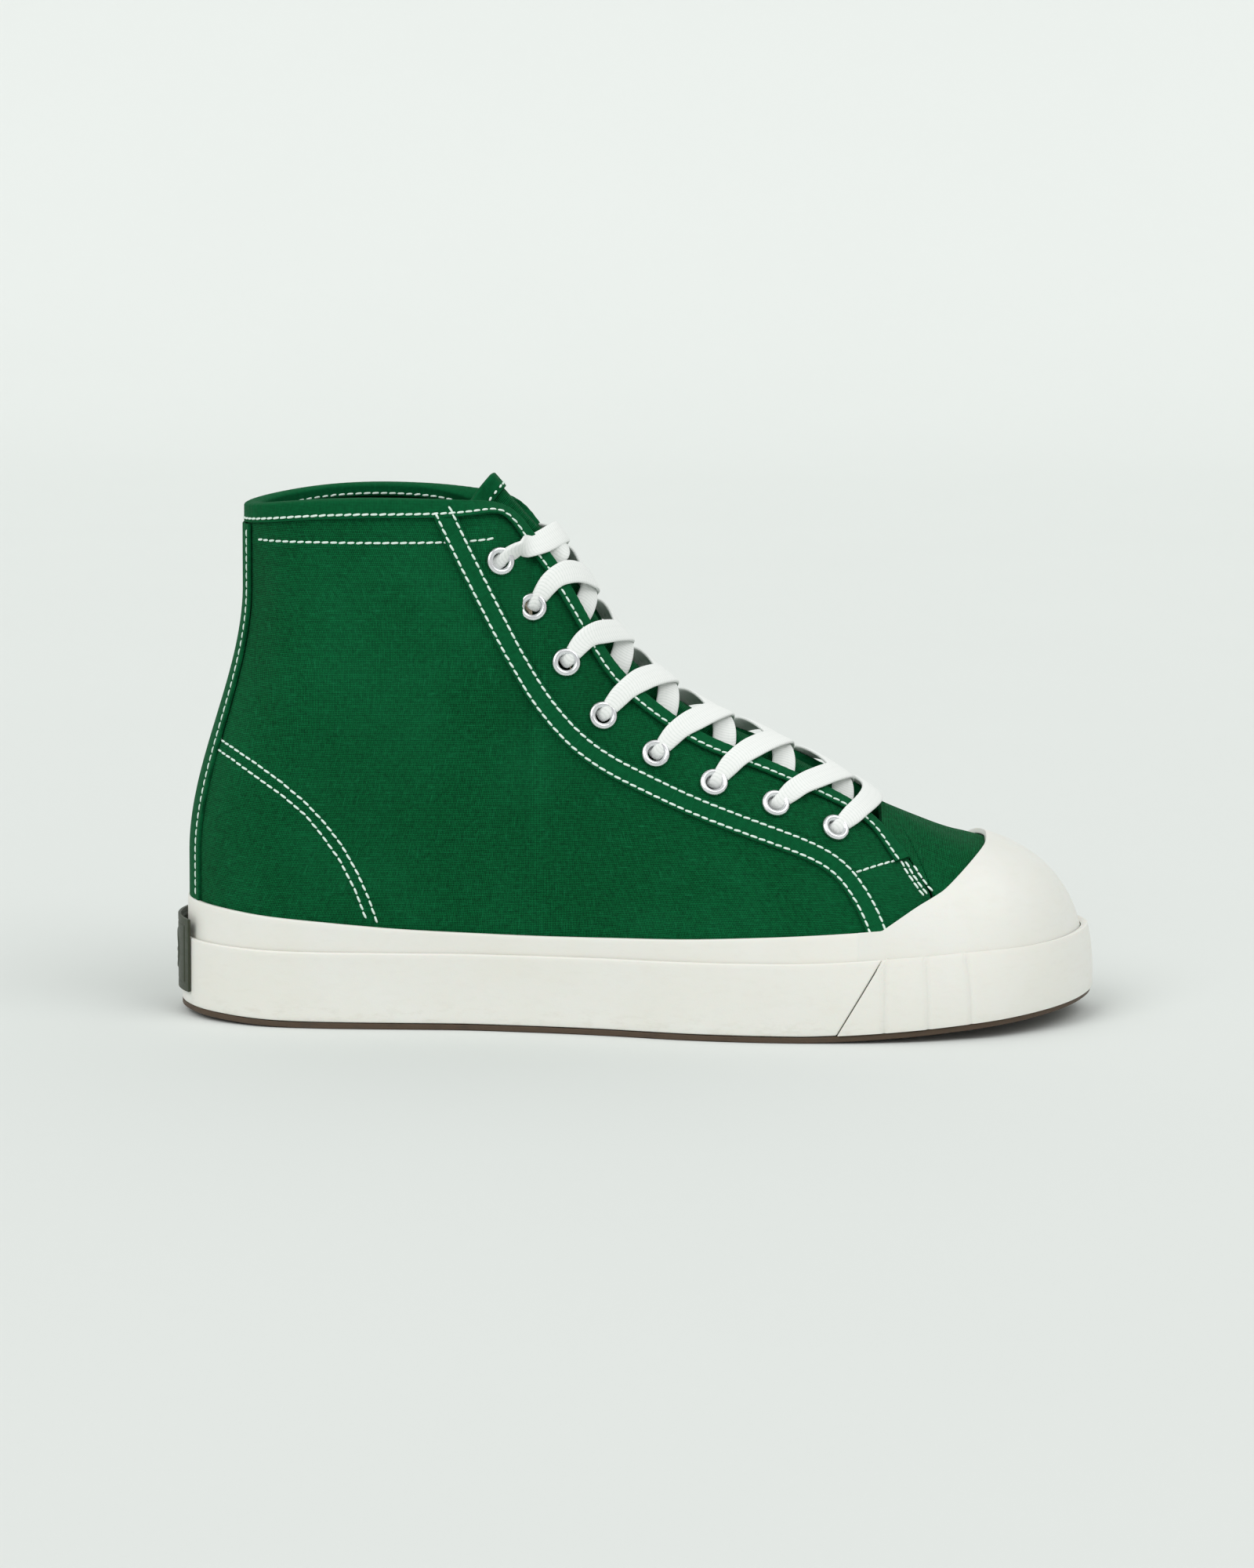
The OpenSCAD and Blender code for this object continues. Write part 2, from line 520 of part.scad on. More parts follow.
// The lace crosses from eyelet to eyelet down the throat: out of one bore, over the tongue, under the
// other edge and up through the next bore. The foot of the throat is a straight bar on the outside.
crossing_lead = 13 * kx;
lace_out = trim_gap + 1.1 + lace_t;
lace_under = -lining_in - tape_t - trim_gap - layer_gap - lace_t;
function eyelet_of(places, side, k) = places[side < 0 ? 0 : 1][k];
function bisect_y(q, y, a, b, k) = let (m = (a + b) / 2) k == 0 ? m
    : abs(last_at(q, m)[1]) > y ? bisect_y(q, y, m, b, k - 1) : bisect_y(q, y, a, m, k - 1);
function over_spot(a, b, u, t) = let (pa = last_at(a[0], a[1]), pb = last_at(b[0], b[1]),
    x = lerp(pa[0], pb[0], u) + crossing_lead * 4 * u * (1 - u), y = lerp(pa[1], pb[1], u),
    side = y < 0 ? -1 : 1, q = station(side, x), v = bisect_y(q, abs(y), 0, 1, 13))
    last_at(q, v) + level(normal_at(q, v), y) * t;
function bore_spot(p) = skin(p[0], p[1], -lining_in / 2);
function crossing(a, b, high, lift) = [bore_spot(a), over_spot(a, b, 0.09, lace_out),
    over_spot(a, b, 0.22, lace_out - 0.3),
    over_spot(a, b, 0.5, tongue_crest + 2.8 + lace_t / 2 + (high ? lace_t + layer_gap : 0)),
    over_spot(a, b, 0.68, lace_under / 2 + 0.4 + lift),
    over_spot(a, b, 0.87, lace_under + lift * 0.4)];
function reversed(list) = [for (i = [len(list) - 1:-1:0]) list[i]];
function half_lace(places, first) = [for (k = [0:eyelet_count - 2])
    let (side = first * (k % 2 == 0 ? 1 : -1))
    each crossing(eyelet_of(places, side, k), eyelet_of(places, -side, k + 1), side < 0, k == 0 ? 3.2 : 0)];
tail_points = [[-50, 19.5, 143], [-56, 20.5, 125], [-58, 21.5, 103], [-58, 22.5, 80], [-57, 23, 58]];
tail_end = [-56, 23.5, 50];
function tail(side) = [for (p = concat([tail_end], reversed(tail_points))) [p[0], side * p[1], p[2]]];
function lace_route(places) = let (n = eyelet_count - 1, last_side = n % 2 == 0 ? -1 : 1,
    a = eyelet_of(places, last_side, n), b = eyelet_of(places, -last_side, n))
    concat(tail(-1), half_lace(places, -1), [bore_spot(a), over_spot(a, b, 0.13, lace_out),
        over_spot(a, b, 0.5, lace_t), over_spot(a, b, 0.87, lace_out), bore_spot(b)],
        reversed(half_lace(places, 1)), reversed(tail(1)));
function lace_half(route, i) = let (n = len(route), first = len(tail_points) + 1,
    k = i - first, back = n - 1 - first - i)
    i == 0 || i == n - 1 ? [aglet_r * 0.7, aglet_r * 0.7]
    : (k >= 0 && back >= 0 && is_bore(k, back)) ? [2.1, 1.7]
    : [lace_w / 2, lace_t / 2];
function is_bore(k, back) = let (m = 6 * (eyelet_count - 1))
    k <= m ? k % 6 == 0 : back <= m ? back % 6 == 0 : false;
module lace() {
    places = [eyelet_places(-1), eyelet_places(1)];
    route = lace_route(places);
    n = len(route);
    color("white") tube([for (i = [0:n - 1])
        let (d = unit(route[min(n - 1, i + 1)] - route[max(0, i - 1)]),
            x = min(route[i][0], pole[0] - 2), q = station(-1, x),
            g = i > 6 && i < n - 7 ? unit(last_at(station(-1, x + 1), 1) - last_at(station(-1, x - 1), 1))
                : [1, 0, 0],
            a = unit(g - d * (g * d)), b = cross(d, a), s = lace_half(route, i))
        [for (c = [0:7]) route[i] + 1.08 * (a * s[0] * cos(45 * c + 22.5)
            + b * s[1] * sin(45 * c + 22.5))]]);
}
module aglet(side) {
    translate([tail_end[0], side * tail_end[1], tail_end[2] - aglet_len])
        cylinder(r = aglet_r, h = aglet_len - layer_gap, $fn = 24);
}
module aglet_lateral() {
    color("white") aglet(-1);
}
module aglet_medial() {
    color("white") aglet(1);
}

outsole();
midsole_filler();
insole_board();
sock_liner();
foxing_inner();
foxing_outer();
toe_bumper();
toe_cap();
heel_label();
vamp();
quarter_lateral();
quarter_medial();
lining_lateral();
lining_medial();
heel_counter();
heel_strip();
eyestay_lateral();
eyestay_medial();
tape_lateral();
tape_medial();
collar_binding();
throat_binding_lateral();
throat_binding_medial();
tongue();
tongue_binding();
eyelets_lateral();
eyelets_medial();
lace();
aglet_lateral();
aglet_medial();
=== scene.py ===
# A green canvas high-top sneaker, right foot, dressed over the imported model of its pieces.
import math
import bpy
import numpy as np
from mathutils import Matrix, Vector, noise


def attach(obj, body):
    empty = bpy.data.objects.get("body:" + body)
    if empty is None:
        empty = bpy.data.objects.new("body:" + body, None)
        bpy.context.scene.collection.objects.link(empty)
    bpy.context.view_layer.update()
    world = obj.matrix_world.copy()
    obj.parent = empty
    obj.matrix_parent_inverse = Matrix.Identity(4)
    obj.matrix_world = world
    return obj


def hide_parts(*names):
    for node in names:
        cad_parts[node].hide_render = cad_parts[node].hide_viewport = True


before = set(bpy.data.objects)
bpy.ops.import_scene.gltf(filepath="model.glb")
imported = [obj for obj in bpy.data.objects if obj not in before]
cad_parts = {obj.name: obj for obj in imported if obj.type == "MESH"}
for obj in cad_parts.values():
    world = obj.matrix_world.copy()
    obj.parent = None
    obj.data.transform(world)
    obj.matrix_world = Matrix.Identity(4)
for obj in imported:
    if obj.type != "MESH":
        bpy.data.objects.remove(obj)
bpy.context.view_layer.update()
print("frame loaded")

mm = 0.001
rng = np.random.default_rng(7)

# the camera
cameraSet = {"distance": 1.6, "azimuth": 2.0, "elevation": 9.1, "lens": 112.32,
             "target": (-0.0028, 0.0, 0.075)}


def placeCamera():
    azimuth = math.radians(cameraSet["azimuth"])
    elevation = math.radians(cameraSet["elevation"])
    target = Vector(cameraSet["target"])
    flat = math.cos(elevation)
    away = Vector((math.sin(azimuth) * flat, -math.cos(azimuth) * flat, math.sin(elevation)))
    bpy.ops.object.camera_add(location=target + away * cameraSet["distance"])
    camera = bpy.context.object
    camera.rotation_euler = (-away).to_track_quat("-Z", "Y").to_euler()
    camera.data.lens = cameraSet["lens"]
    camera.data.sensor_width = 36
    camera.data.sensor_fit = "AUTO"
    bpy.context.scene.camera = camera


placeCamera()
bpy.context.scene.view_settings.view_transform = "Standard"
print("camera placed")

# the last, in millimetres
# Each row: x, lateral half width, medial half width, rim or instep height, top of the tall band.
stations = np.array([
    [-145.5, 0, 0, 166.5, 38.4], [-143, 11, 11, 166.8, 38.2], [-135, 21, 21, 167.6, 37.6],
    [-119, 29, 29, 169, 36], [-99, 31.5, 31, 170, 34.4], [-76, 32, 30.5, 170.2, 32.6],
    [-54, 32.5, 30, 169.2, 31.6], [-33, 35, 30, 165, 31.2], [-20, 37, 30.5, 150, 31.2],
    [-5, 40, 32, 125.5, 31.4], [18, 45.5, 36, 104.5, 32], [41, 48.5, 41, 93, 33],
    [63, 49, 44.5, 82, 33.8], [82, 48, 46, 69.5, 34.4], [98, 45, 45, 66, 35],
    [116, 38.5, 40.5, 63.5, 35.5], [131, 27, 32, 62, 36], [141, 12.5, 20.5, 61, 36],
    [145.5, -5, 5, 61, 36]])
sole = {"outsole": 2.2, "filler": 8, "board": 1.8, "liner": 3, "band": 1.7, "outerBand": 1.6, "outerTop": 25,
        "cap": 1.8, "bumper": 2.2, "label": 1.2, "labelTop": 32, "labelHigh": 24, "labelWide": 28}
upper = {"canvas": 1.2, "stiffener": 0.8, "lining": 0.8, "tape": 0.7, "tapeWide": 7, "stripWide": 28,
         "binding": 5.2, "tongue": 2.4, "tongueHalf": 27, "tongueRise": 21}
lacing = {"eyelets": 8, "pitch": 20.9, "inset": 18, "first": 14, "thick": 1.3, "lead": 13,
          "full": (4.0, 0.72), "gathered": (3.4, 0.9), "squeezed": (2.15, 1.7), "tip": (1.2, 1.2)}
stitchSet = {"pitch": 2.8, "long": 2.5, "radius": 0.38, "sunk": 0.10, "slant": 5.0}
shape = {"end": 145.5, "toeRise": 6.5, "toeFrom": 55, "heelRise": 1.8, "heelFrom": -100}
opening = {"middle": -85, "back": 41.2, "front": 52, "half": 28.5, "frontEnd": -33}
gap = {"layer": 0.35, "trim": 0.55, "butt": 0.4}
liningIn = upper["canvas"] + upper["stiffener"] + upper["lining"] + 2 * gap["layer"]
stiffOut = -upper["canvas"] - gap["layer"]
bandOut = 2 * gap["layer"] + sole["cap"]      # inner face of the outer band and the bumper
halfTurn = 18                                 # stations from the heel to the toe
fullTurn = 36
stationStep = 10.8                            # mm round the heel from one station to the next
fineStep = 0.7                                # mm between the points of a tape or a seam
poleX = 80.0
poleZ = 70.0


def smooth(a):
    c = np.clip(a, 0, 1)
    return c * c * (3 - 2 * c)


def spline(a, b, c, d, f):
    return 0.5 * (2 * b + (c - a) * f + (2 * a - 5 * b + 4 * c - d) * f * f + (3 * b - a - 3 * c + d) * f ** 3)


def foldIndex(i):
    w = i % fullTurn
    return w if w <= halfTurn else fullTurn - w


def planPoint(i):
    row = stations[foldIndex(i)]
    return [row[0], -row[1] if i <= halfTurn else row[2]]


outline = np.array([planPoint(i) for i in range(fullTurn)])
crestLoop = np.array([stations[foldIndex(i)][3] for i in range(fullTurn)])
bandLoop = np.array([stations[foldIndex(i)][4] for i in range(fullTurn)])


def roundLoop(values, q):
    q = np.asarray(q, float)
    i = np.floor(q).astype(int)
    f = q - i
    if values.ndim == 2:
        f = f[..., None]
    near = [values[(i + k) % fullTurn] for k in (-1, 0, 1, 2)]
    return spline(*near, f)


def soleRise(x):
    toe = shape["toeRise"] * np.maximum(0, (x - shape["toeFrom"]) / (shape["end"] - shape["toeFrom"])) ** 1.3
    back = (shape["heelFrom"] - x) / (shape["end"] + shape["heelFrom"])
    heel = shape["heelRise"] * np.maximum(0, back) ** 2
    return toe + heel


def topX(x):
    middle = opening["middle"]
    drawnIn = opening["back"] / (shape["end"] + middle)
    return np.where(x < middle, middle + (x - middle) * drawnIn, np.minimum(x, poleX))


def topY(x):
    away = x - opening["middle"]
    back = opening["half"] * np.maximum(0, 1 - np.abs(away / opening["back"]) ** 2.2) ** 0.4545
    front = opening["half"] * np.maximum(0, 1 - (away / opening["front"]) ** 2) ** 0.75
    return np.where(away < 0, back, np.where(x < opening["frontEnd"], front, 0))


def ribPower(x):
    return 2.2 - 0.25 * smooth((x - 40) / 40) + 0.75 * smooth((x - 105) / 40)


def lastAt(q, v):
    # q counts stations round the shoe from the heel, v climbs from the sole to the top line
    q, v = np.broadcast_arrays(np.asarray(q, float), np.asarray(v, float))
    base = roundLoop(outline, q)
    x = base[..., 0]
    z = sole["outsole"] + soleRise(x)
    sign = np.where(np.mod(q, fullTurn) < halfTurn, -1.0, 1.0)
    tx = topX(x)
    ty = sign * topY(tx)
    tz = roundLoop(crestLoop, q)
    w = smooth((x + 115) / 75)
    n = ribPower(x)
    leanIn = 0.93 * smooth((v - 0.30) / 0.54) + 0.07 * v           # the straight shaft at the ankle
    h = (1 - w) * leanIn + w * (1 - np.maximum(0, np.cos(v * math.pi / 2)) ** (2 / n))
    g = (1 - w) * v + w * np.maximum(0, np.sin(v * math.pi / 2)) ** (2 / n)
    ahead = x > poleX
    r = np.where(ahead, np.hypot(x - tx, base[..., 1] - ty) * (1 - h), 0)
    hump = np.where(ahead, (poleZ - tz) * np.maximum(0, 1 - r / 28) ** 1.6, 0)
    y = base[..., 1] + (ty - base[..., 1]) * h
    return np.stack([x + (tx - x) * h, y, z + (tz - z) * g + hump], axis=-1)


def unit(a):
    return a / np.maximum(1e-9, np.linalg.norm(a, axis=-1, keepdims=True))


def normalAt(q, v):
    q, v = np.broadcast_arrays(np.asarray(q, float), np.asarray(v, float))
    d = 0.02
    w = np.minimum(v, 0.975)
    lo = np.maximum(0.002, w - d)
    hi = np.minimum(0.985, w + d)
    return unit(np.cross(lastAt(q + d, w) - lastAt(q - d, w), lastAt(q, hi) - lastAt(q, lo)))


def skinAt(q, v, t):
    t = np.asarray(t, float)
    return lastAt(q, v) + normalAt(q, v) * (t[..., None] if t.ndim else t)


halfQ = np.arange(0, halfTurn + 0.01, 0.125)
halfX = roundLoop(outline, halfQ)[:, 0]


def station(side, x):
    q = np.interp(x, halfX, halfQ)
    return q if side < 0 else fullTurn - q


def vAtZ(q, z):
    q, z = np.broadcast_arrays(np.asarray(q, float), np.asarray(z, float))
    a, b = np.zeros(q.shape), np.ones(q.shape)
    for _ in range(14):
        m = (a + b) / 2
        below = lastAt(q, m)[..., 2] < z
        a, b = np.where(below, m, a), np.where(below, b, m)
    return (a + b) / 2


# Edge of the quarters in plan, from the collar corner down the throat and out to the toe cap.
cornerX = -43.5
frontX = 101.0
medialShare = 0.78                            # the throat is narrower on the medial side
throat = np.array([[cornerX, 13.6], [-36, 12.8], [-28, 13.2], [-20, 15.5], [-8, 18], [8, 19.5], [26, 20.5],
                   [46, 20.5], [62, 19], [74, 17], [81, 19], [88, 25], [95, 32], [101, 37], [107, 41]])
throatLine = np.array([throat[0]] + [spline(throat[i - 1], throat[i], throat[i + 1], throat[i + 2], f)
                                     for i in range(1, len(throat) - 2) for f in (0, 0.25, 0.5, 0.75)])


def edgeY(side, x):
    return np.interp(x, throatLine[:, 0], throatLine[:, 1]) * (1 if side < 0 else medialShare)


def vEdge(side, q):
    q = np.asarray(q, float)
    a, b = np.zeros(q.shape), np.ones(q.shape)
    for _ in range(14):
        m = (a + b) / 2
        p = lastAt(q, m)
        past = (p[..., 0] > cornerX) & (np.abs(p[..., 1]) < edgeY(side, p[..., 0]))
        a, b = np.where(past, a, m), np.where(past, m, b)
    return a


capSet = {"back": 70, "reach": 44, "half": 46}


def vCap(q):
    q = np.asarray(q, float)
    a, b = np.zeros(q.shape), np.ones(q.shape)
    for _ in range(14):
        m = (a + b) / 2
        p = lastAt(q, m)
        aside = np.minimum(1, np.abs(p[..., 1]) / capSet["half"])
        edge = capSet["back"] + capSet["reach"] * np.maximum(0, 1 - aside ** 2.6) ** 0.9
        behind = p[..., 0] < edge
        a, b = np.where(behind, a, m), np.where(behind, m, b)
    return np.maximum((a + b) / 2, vAtZ(q, roundLoop(bandLoop, q)))


def vFeather(q):
    return vAtZ(q, sole["outsole"] + sole["filler"] + gap["layer"] + soleRise(roundLoop(outline, q)[..., 0]))


def arcLength(points):
    return np.concatenate([[0], np.cumsum(np.linalg.norm(np.diff(points, axis=0), axis=1))])


def evenly(places, step):
    arc = arcLength(lastAt(places[:, 0], places[:, 1]))
    s = np.linspace(0, arc[-1], max(2, int(round(arc[-1] / step)) + 1))
    return np.stack([np.interp(s, arc, places[:, 0]), np.interp(s, arc, places[:, 1])], axis=1)


def framesAlong(places, flip):
    points = lastAt(places[:, 0], places[:, 1])
    normals = normalAt(places[:, 0], places[:, 1])
    ahead = unit(np.vstack([points[1:], points[-1:]]) - np.vstack([points[:1], points[:-1]]))
    return points, normals, unit(np.cross(normals, ahead)) * flip


print("last ready")


class Finish:
    # one material and short ways to wire its nodes
    def __init__(self, name, **settings):
        self.material = bpy.data.materials.new(name)
        self.material.use_nodes = True
        self.tree = self.material.node_tree
        self.shader = self.tree.nodes["Principled BSDF"]
        for socket, value in settings.items():
            self.shader.inputs[socket.replace("_", " ")].default_value = value

    def add(self, kind, **settings):
        made = self.tree.nodes.new(kind)
        for key, value in settings.items():
            setattr(made, key, value)
        return made

    def join(self, source, target):
        if hasattr(source, "node"):
            self.tree.links.new(source, target)
        else:
            target.default_value = source

    def sum(self, operation, a, b=0.0, c=0.0):
        made = self.add("ShaderNodeMath", operation=operation)
        for value, socket in zip((a, b, c), made.inputs):
            self.join(value, socket)
        return made.outputs[0]

    def objectPlace(self):
        return self.add("ShaderNodeTexCoord").outputs["Object"]

    def clothPlace(self):
        return self.add("ShaderNodeUVMap", uv_map="cloth").outputs[0]

    def noise(self, place, scale, detail=3.0, rough=0.5, stretch=(1, 1, 1)):
        mapping = self.add("ShaderNodeMapping")
        mapping.inputs["Scale"].default_value = stretch
        self.join(place, mapping.inputs["Vector"])
        made = self.add("ShaderNodeTexNoise")
        self.join(mapping.outputs[0], made.inputs["Vector"])
        made.inputs["Scale"].default_value = scale
        made.inputs["Detail"].default_value = detail
        made.inputs["Roughness"].default_value = rough
        return made.outputs["Fac"]

    def blend(self, factor, a, b):
        made = self.add("ShaderNodeMix", data_type="RGBA")
        self.join(factor, made.inputs["Factor"])
        for value, socket in ((a, made.inputs["A"]), (b, made.inputs["B"])):
            self.join(value if hasattr(value, "node") else (*value, 1.0), socket)
        return made.outputs["Result"]

    def span(self, value, low, high, outLow=0.0, outHigh=1.0):
        made = self.add("ShaderNodeMapRange")
        for number, socket in zip((value, low, high, outLow, outHigh), made.inputs):
            self.join(number, socket)
        return made.outputs[0]

    def bump(self, height, distance, strength=1.0):
        made = self.add("ShaderNodeBump")
        made.inputs["Distance"].default_value = distance
        made.inputs["Strength"].default_value = strength
        self.join(height, made.inputs["Height"])
        self.join(made.outputs[0], self.shader.inputs["Normal"])

    def colour(self, source):
        self.join(source, self.shader.inputs["Base Color"])

    def rough(self, source):
        self.join(source, self.shader.inputs["Roughness"])


def weave(finish, pitch, wobble):
    # plain weave: two crossing sets of threads, each over every second one of the other
    place = finish.clothPlace()
    split = finish.add("ShaderNodeSeparateXYZ")
    finish.join(place, split.inputs[0])
    drift = finish.noise(place, 260, 2)
    along = finish.sum("MULTIPLY_ADD", finish.sum("SUBTRACT", drift, 0.5), wobble, split.outputs[0])
    over = finish.sum("MULTIPLY_ADD", finish.sum("SUBTRACT", drift, 0.5), -wobble, split.outputs[1])
    warpWave = finish.sum("COSINE", finish.sum("MULTIPLY", along, math.pi / pitch))
    weftWave = finish.sum("COSINE", finish.sum("MULTIPLY", over, math.pi / pitch))
    cross = finish.sum("MULTIPLY", warpWave, weftWave)
    warpShown = finish.sum("MULTIPLY_ADD", cross, 0.5, 0.5)
    weftShown = finish.sum("MULTIPLY_ADD", cross, -0.5, 0.5)
    warpTop = finish.sum("MULTIPLY", finish.sum("ABSOLUTE", warpWave), warpShown)
    weftTop = finish.sum("MULTIPLY", finish.sum("ABSOLUTE", weftWave), weftShown)
    height = finish.sum("MAXIMUM", warpTop, weftTop)
    slubWarp = finish.noise(place, 1500, 2, 0.5, (1, 0.12, 1))
    slubWeft = finish.noise(place, 1500, 2, 0.5, (0.12, 1, 1))
    slub = finish.sum("MAXIMUM", slubWarp, slubWeft)
    return place, height, slub


# deep is the near-black green painted into the hollows between the threads as shade; it also colours random
# darker flecks
clothLooks = {
    "canvas": {"pitch": 0.00058, "relief": 0.00022, "sheen": 0.03, "deep": (0.0002, 0.012, 0.004),
               "mid": (0.0020, 0.150, 0.043), "lit": (0.012, 0.260, 0.100)},
    "tapeCloth": {"pitch": 0.00034, "relief": 0.00006, "sheen": 0.04, "deep": (0.0005, 0.045, 0.014),
                  "mid": (0.0020, 0.120, 0.037), "lit": (0.008, 0.170, 0.062)},
    "liningCloth": {"pitch": 0.00040, "relief": 0.00007, "sheen": 0.03, "deep": (0.0004, 0.022, 0.008),
                    "mid": (0.0015, 0.070, 0.024), "lit": (0.005, 0.110, 0.045)},
    "stiffCloth": {"pitch": 0.00060, "relief": 0.00008, "sheen": 0.05, "deep": (0.20, 0.17, 0.12),
                   "mid": (0.42, 0.37, 0.28), "lit": (0.58, 0.53, 0.42)},
    "sockCloth": {"pitch": 0.00045, "relief": 0.00007, "sheen": 0.08, "deep": (0.30, 0.28, 0.23),
                  "mid": (0.56, 0.54, 0.47), "lit": (0.70, 0.68, 0.60)},
}


def makeCloth(name):
    look = clothLooks[name]
    finish = Finish(name, Sheen_Weight=look["sheen"], Sheen_Roughness=0.45, Specular_IOR_Level=0.07)
    finish.shader.inputs["Sheen Tint"].default_value = (0.5, 0.95, 0.7, 1)
    place, height, slub = weave(finish, look["pitch"], look["pitch"] * 0.5)
    # painted shade: where the weave lies low, between the threads, the colour goes to the near-black deep
    # green; the flecks below darken towards it as random tone
    threads = finish.blend(finish.span(height, 0.15, 0.8), look["deep"], look["mid"])
    fleck = finish.noise(place, 620, 3, 0.65)
    threads = finish.blend(finish.span(fleck, 0.42, 0.70, 0, 0.5), threads, look["deep"])
    lit = finish.blend(finish.span(slub, 0.58, 0.85, 0, 0.35), threads, look["lit"])
    fade = finish.noise(finish.objectPlace(), 22, 4, 0.6)
    worn = finish.blend(finish.span(fade, 0.45, 0.8, 0, 0.16), lit, look["lit"])
    finish.colour(worn)
    finish.rough(finish.span(height, 0, 1, 0.95, 0.78))
    finish.bump(finish.sum("MULTIPLY_ADD", slub, 0.35, height), look["relief"], 0.8)
    return finish.material


def makeRubber(name, clean, grimy, rough, relief=0.00004):
    finish = Finish(name, Specular_IOR_Level=0.42, Coat_Weight=0.04, Coat_Roughness=0.35)
    finish.shader.inputs["Subsurface Weight"].default_value = 0.06
    finish.shader.inputs["Subsurface Scale"].default_value = 0.002
    place = finish.objectPlace()
    split = finish.add("ShaderNodeSeparateXYZ")
    finish.join(place, split.inputs[0])
    cloudy = finish.noise(place, 35, 4, 0.55)
    scuff = finish.noise(place, 160, 5, 0.7, (1, 1, 3))
    low = finish.span(split.outputs[2], 0.000, 0.009, 1, 0)
    dirty = finish.sum("MULTIPLY_ADD", low, 0.55, 0.10)           # more near the ground
    dust = finish.sum("MULTIPLY", finish.span(scuff, 0.50, 0.78), dirty)
    warmer = tuple(c * k for c, k in zip(clean, (0.98, 0.975, 0.95)))
    mottled = finish.blend(finish.span(cloudy, 0.35, 0.7), clean, warmer)
    finish.colour(finish.blend(dust, mottled, grimy))
    finish.rough(finish.span(scuff, 0.3, 0.8, rough - 0.06, rough + 0.12))
    fine = finish.noise(place, 1800, 2, 0.5)
    finish.bump(finish.sum("MULTIPLY_ADD", cloudy, 1.6, fine), relief, 0.6)
    return finish.material


def makeThread():
    finish = Finish("stitchThread", Roughness=0.72, Sheen_Weight=0.15, Specular_IOR_Level=0.3)
    place = finish.objectPlace()
    twist = finish.noise(place, 1500, 2, 0.5)
    finish.colour(finish.blend(finish.span(twist, 0.35, 0.7), (0.62, 0.80, 0.70), (0.86, 0.95, 0.89)))
    finish.bump(twist, 0.00008, 0.7)
    return finish.material


def makeLaceCotton():
    # flat braid: threads run in chevrons out from the middle of the lace
    finish = Finish("laceCotton", Sheen_Weight=0.2, Sheen_Roughness=0.4, Specular_IOR_Level=0.25)
    split = finish.add("ShaderNodeSeparateXYZ")
    finish.join(finish.clothPlace(), split.inputs[0])
    side = finish.sum("ABSOLUTE", finish.sum("SINE", finish.sum("MULTIPLY", split.outputs[0], 2 * math.pi)))
    phase = finish.sum("MULTIPLY_ADD", side, 0.0016, split.outputs[1])
    thread = finish.sum("ABSOLUTE", finish.sum("SINE", finish.sum("MULTIPLY", phase, math.pi / 0.0011)))
    around = finish.sum("MULTIPLY", split.outputs[0], 2 * math.pi * 7)
    ends = finish.sum("ABSOLUTE", finish.sum("SINE", around))
    height = finish.sum("MULTIPLY", thread, finish.sum("MULTIPLY_ADD", ends, 0.45, 0.55))
    fuzz = finish.noise(finish.objectPlace(), 1400, 3, 0.6)
    # painted shade: the braid is a darker white where it lies low, between its threads
    white = finish.blend(finish.span(height, 0.0, 0.6), (0.74, 0.78, 0.75), (0.86, 0.88, 0.86))
    finish.colour(finish.blend(finish.span(fuzz, 0.55, 0.8, 0, 0.5), white, (0.90, 0.92, 0.90)))
    finish.rough(0.9)
    finish.bump(finish.sum("MULTIPLY_ADD", fuzz, 0.6, height), 0.00007, 0.7)
    return finish.material


def makeEyeletMetal():
    finish = Finish("eyeletMetal", Metallic=1.0)
    place = finish.objectPlace()
    brushed = finish.noise(place, 500, 4, 0.65)
    finish.colour(finish.blend(brushed, (0.68, 0.70, 0.72), (0.88, 0.89, 0.90)))
    finish.rough(finish.span(brushed, 0.3, 0.75, 0.16, 0.36))
    finish.bump(finish.noise(place, 900, 3, 0.6), 0.00003, 0.5)
    return finish.material


def makeFibre(name, dark, light, scale, rough):
    finish = Finish(name, Specular_IOR_Level=0.25)
    place = finish.objectPlace()
    specks = finish.noise(place, scale, 5, 0.75)
    finish.colour(finish.blend(finish.span(specks, 0.35, 0.65), dark, light))
    finish.rough(finish.span(specks, 0.3, 0.7, rough, rough - 0.12))
    finish.bump(specks, 0.00015, 0.6)
    return finish.material


def makeAgletPlastic():
    finish = Finish("agletPlastic", Specular_IOR_Level=0.55, Coat_Weight=0.3, Coat_Roughness=0.1)
    place = finish.objectPlace()
    wrap = finish.noise(place, 300, 3, 0.6, (1, 1, 0.2))
    finish.colour(finish.blend(wrap, (0.72, 0.75, 0.73), (0.88, 0.90, 0.88)))
    finish.rough(finish.span(wrap, 0.3, 0.7, 0.18, 0.34))
    finish.bump(wrap, 0.00006, 0.5)
    return finish.material


finishes = {name: makeCloth(name) for name in clothLooks}
rubberLooks = {
    "creamRubber": {"clean": (0.80, 0.80, 0.755), "grimy": (0.57, 0.54, 0.46), "rough": 0.46},
    "capRubber": {"clean": (0.775, 0.78, 0.74), "grimy": (0.57, 0.55, 0.47), "rough": 0.40},
    # the outsole's gum brown is darkened nearly to black: partly its own dark gum, partly painted shade under
    # the sole, on the outsole and the tread bars
    "gumBrownPaintedShade": {"clean": (0.075, 0.048, 0.028), "grimy": (0.035, 0.03, 0.022), "rough": 0.6,
                  "relief": 0.00008},
    "labelRubber": {"clean": (0.028, 0.038, 0.019), "grimy": (0.085, 0.095, 0.062), "rough": 0.5,
                    "relief": 0.00006},
}
finishes.update({name: makeRubber(name, **look) for name, look in rubberLooks.items()})
finishes["stitchThread"] = makeThread()
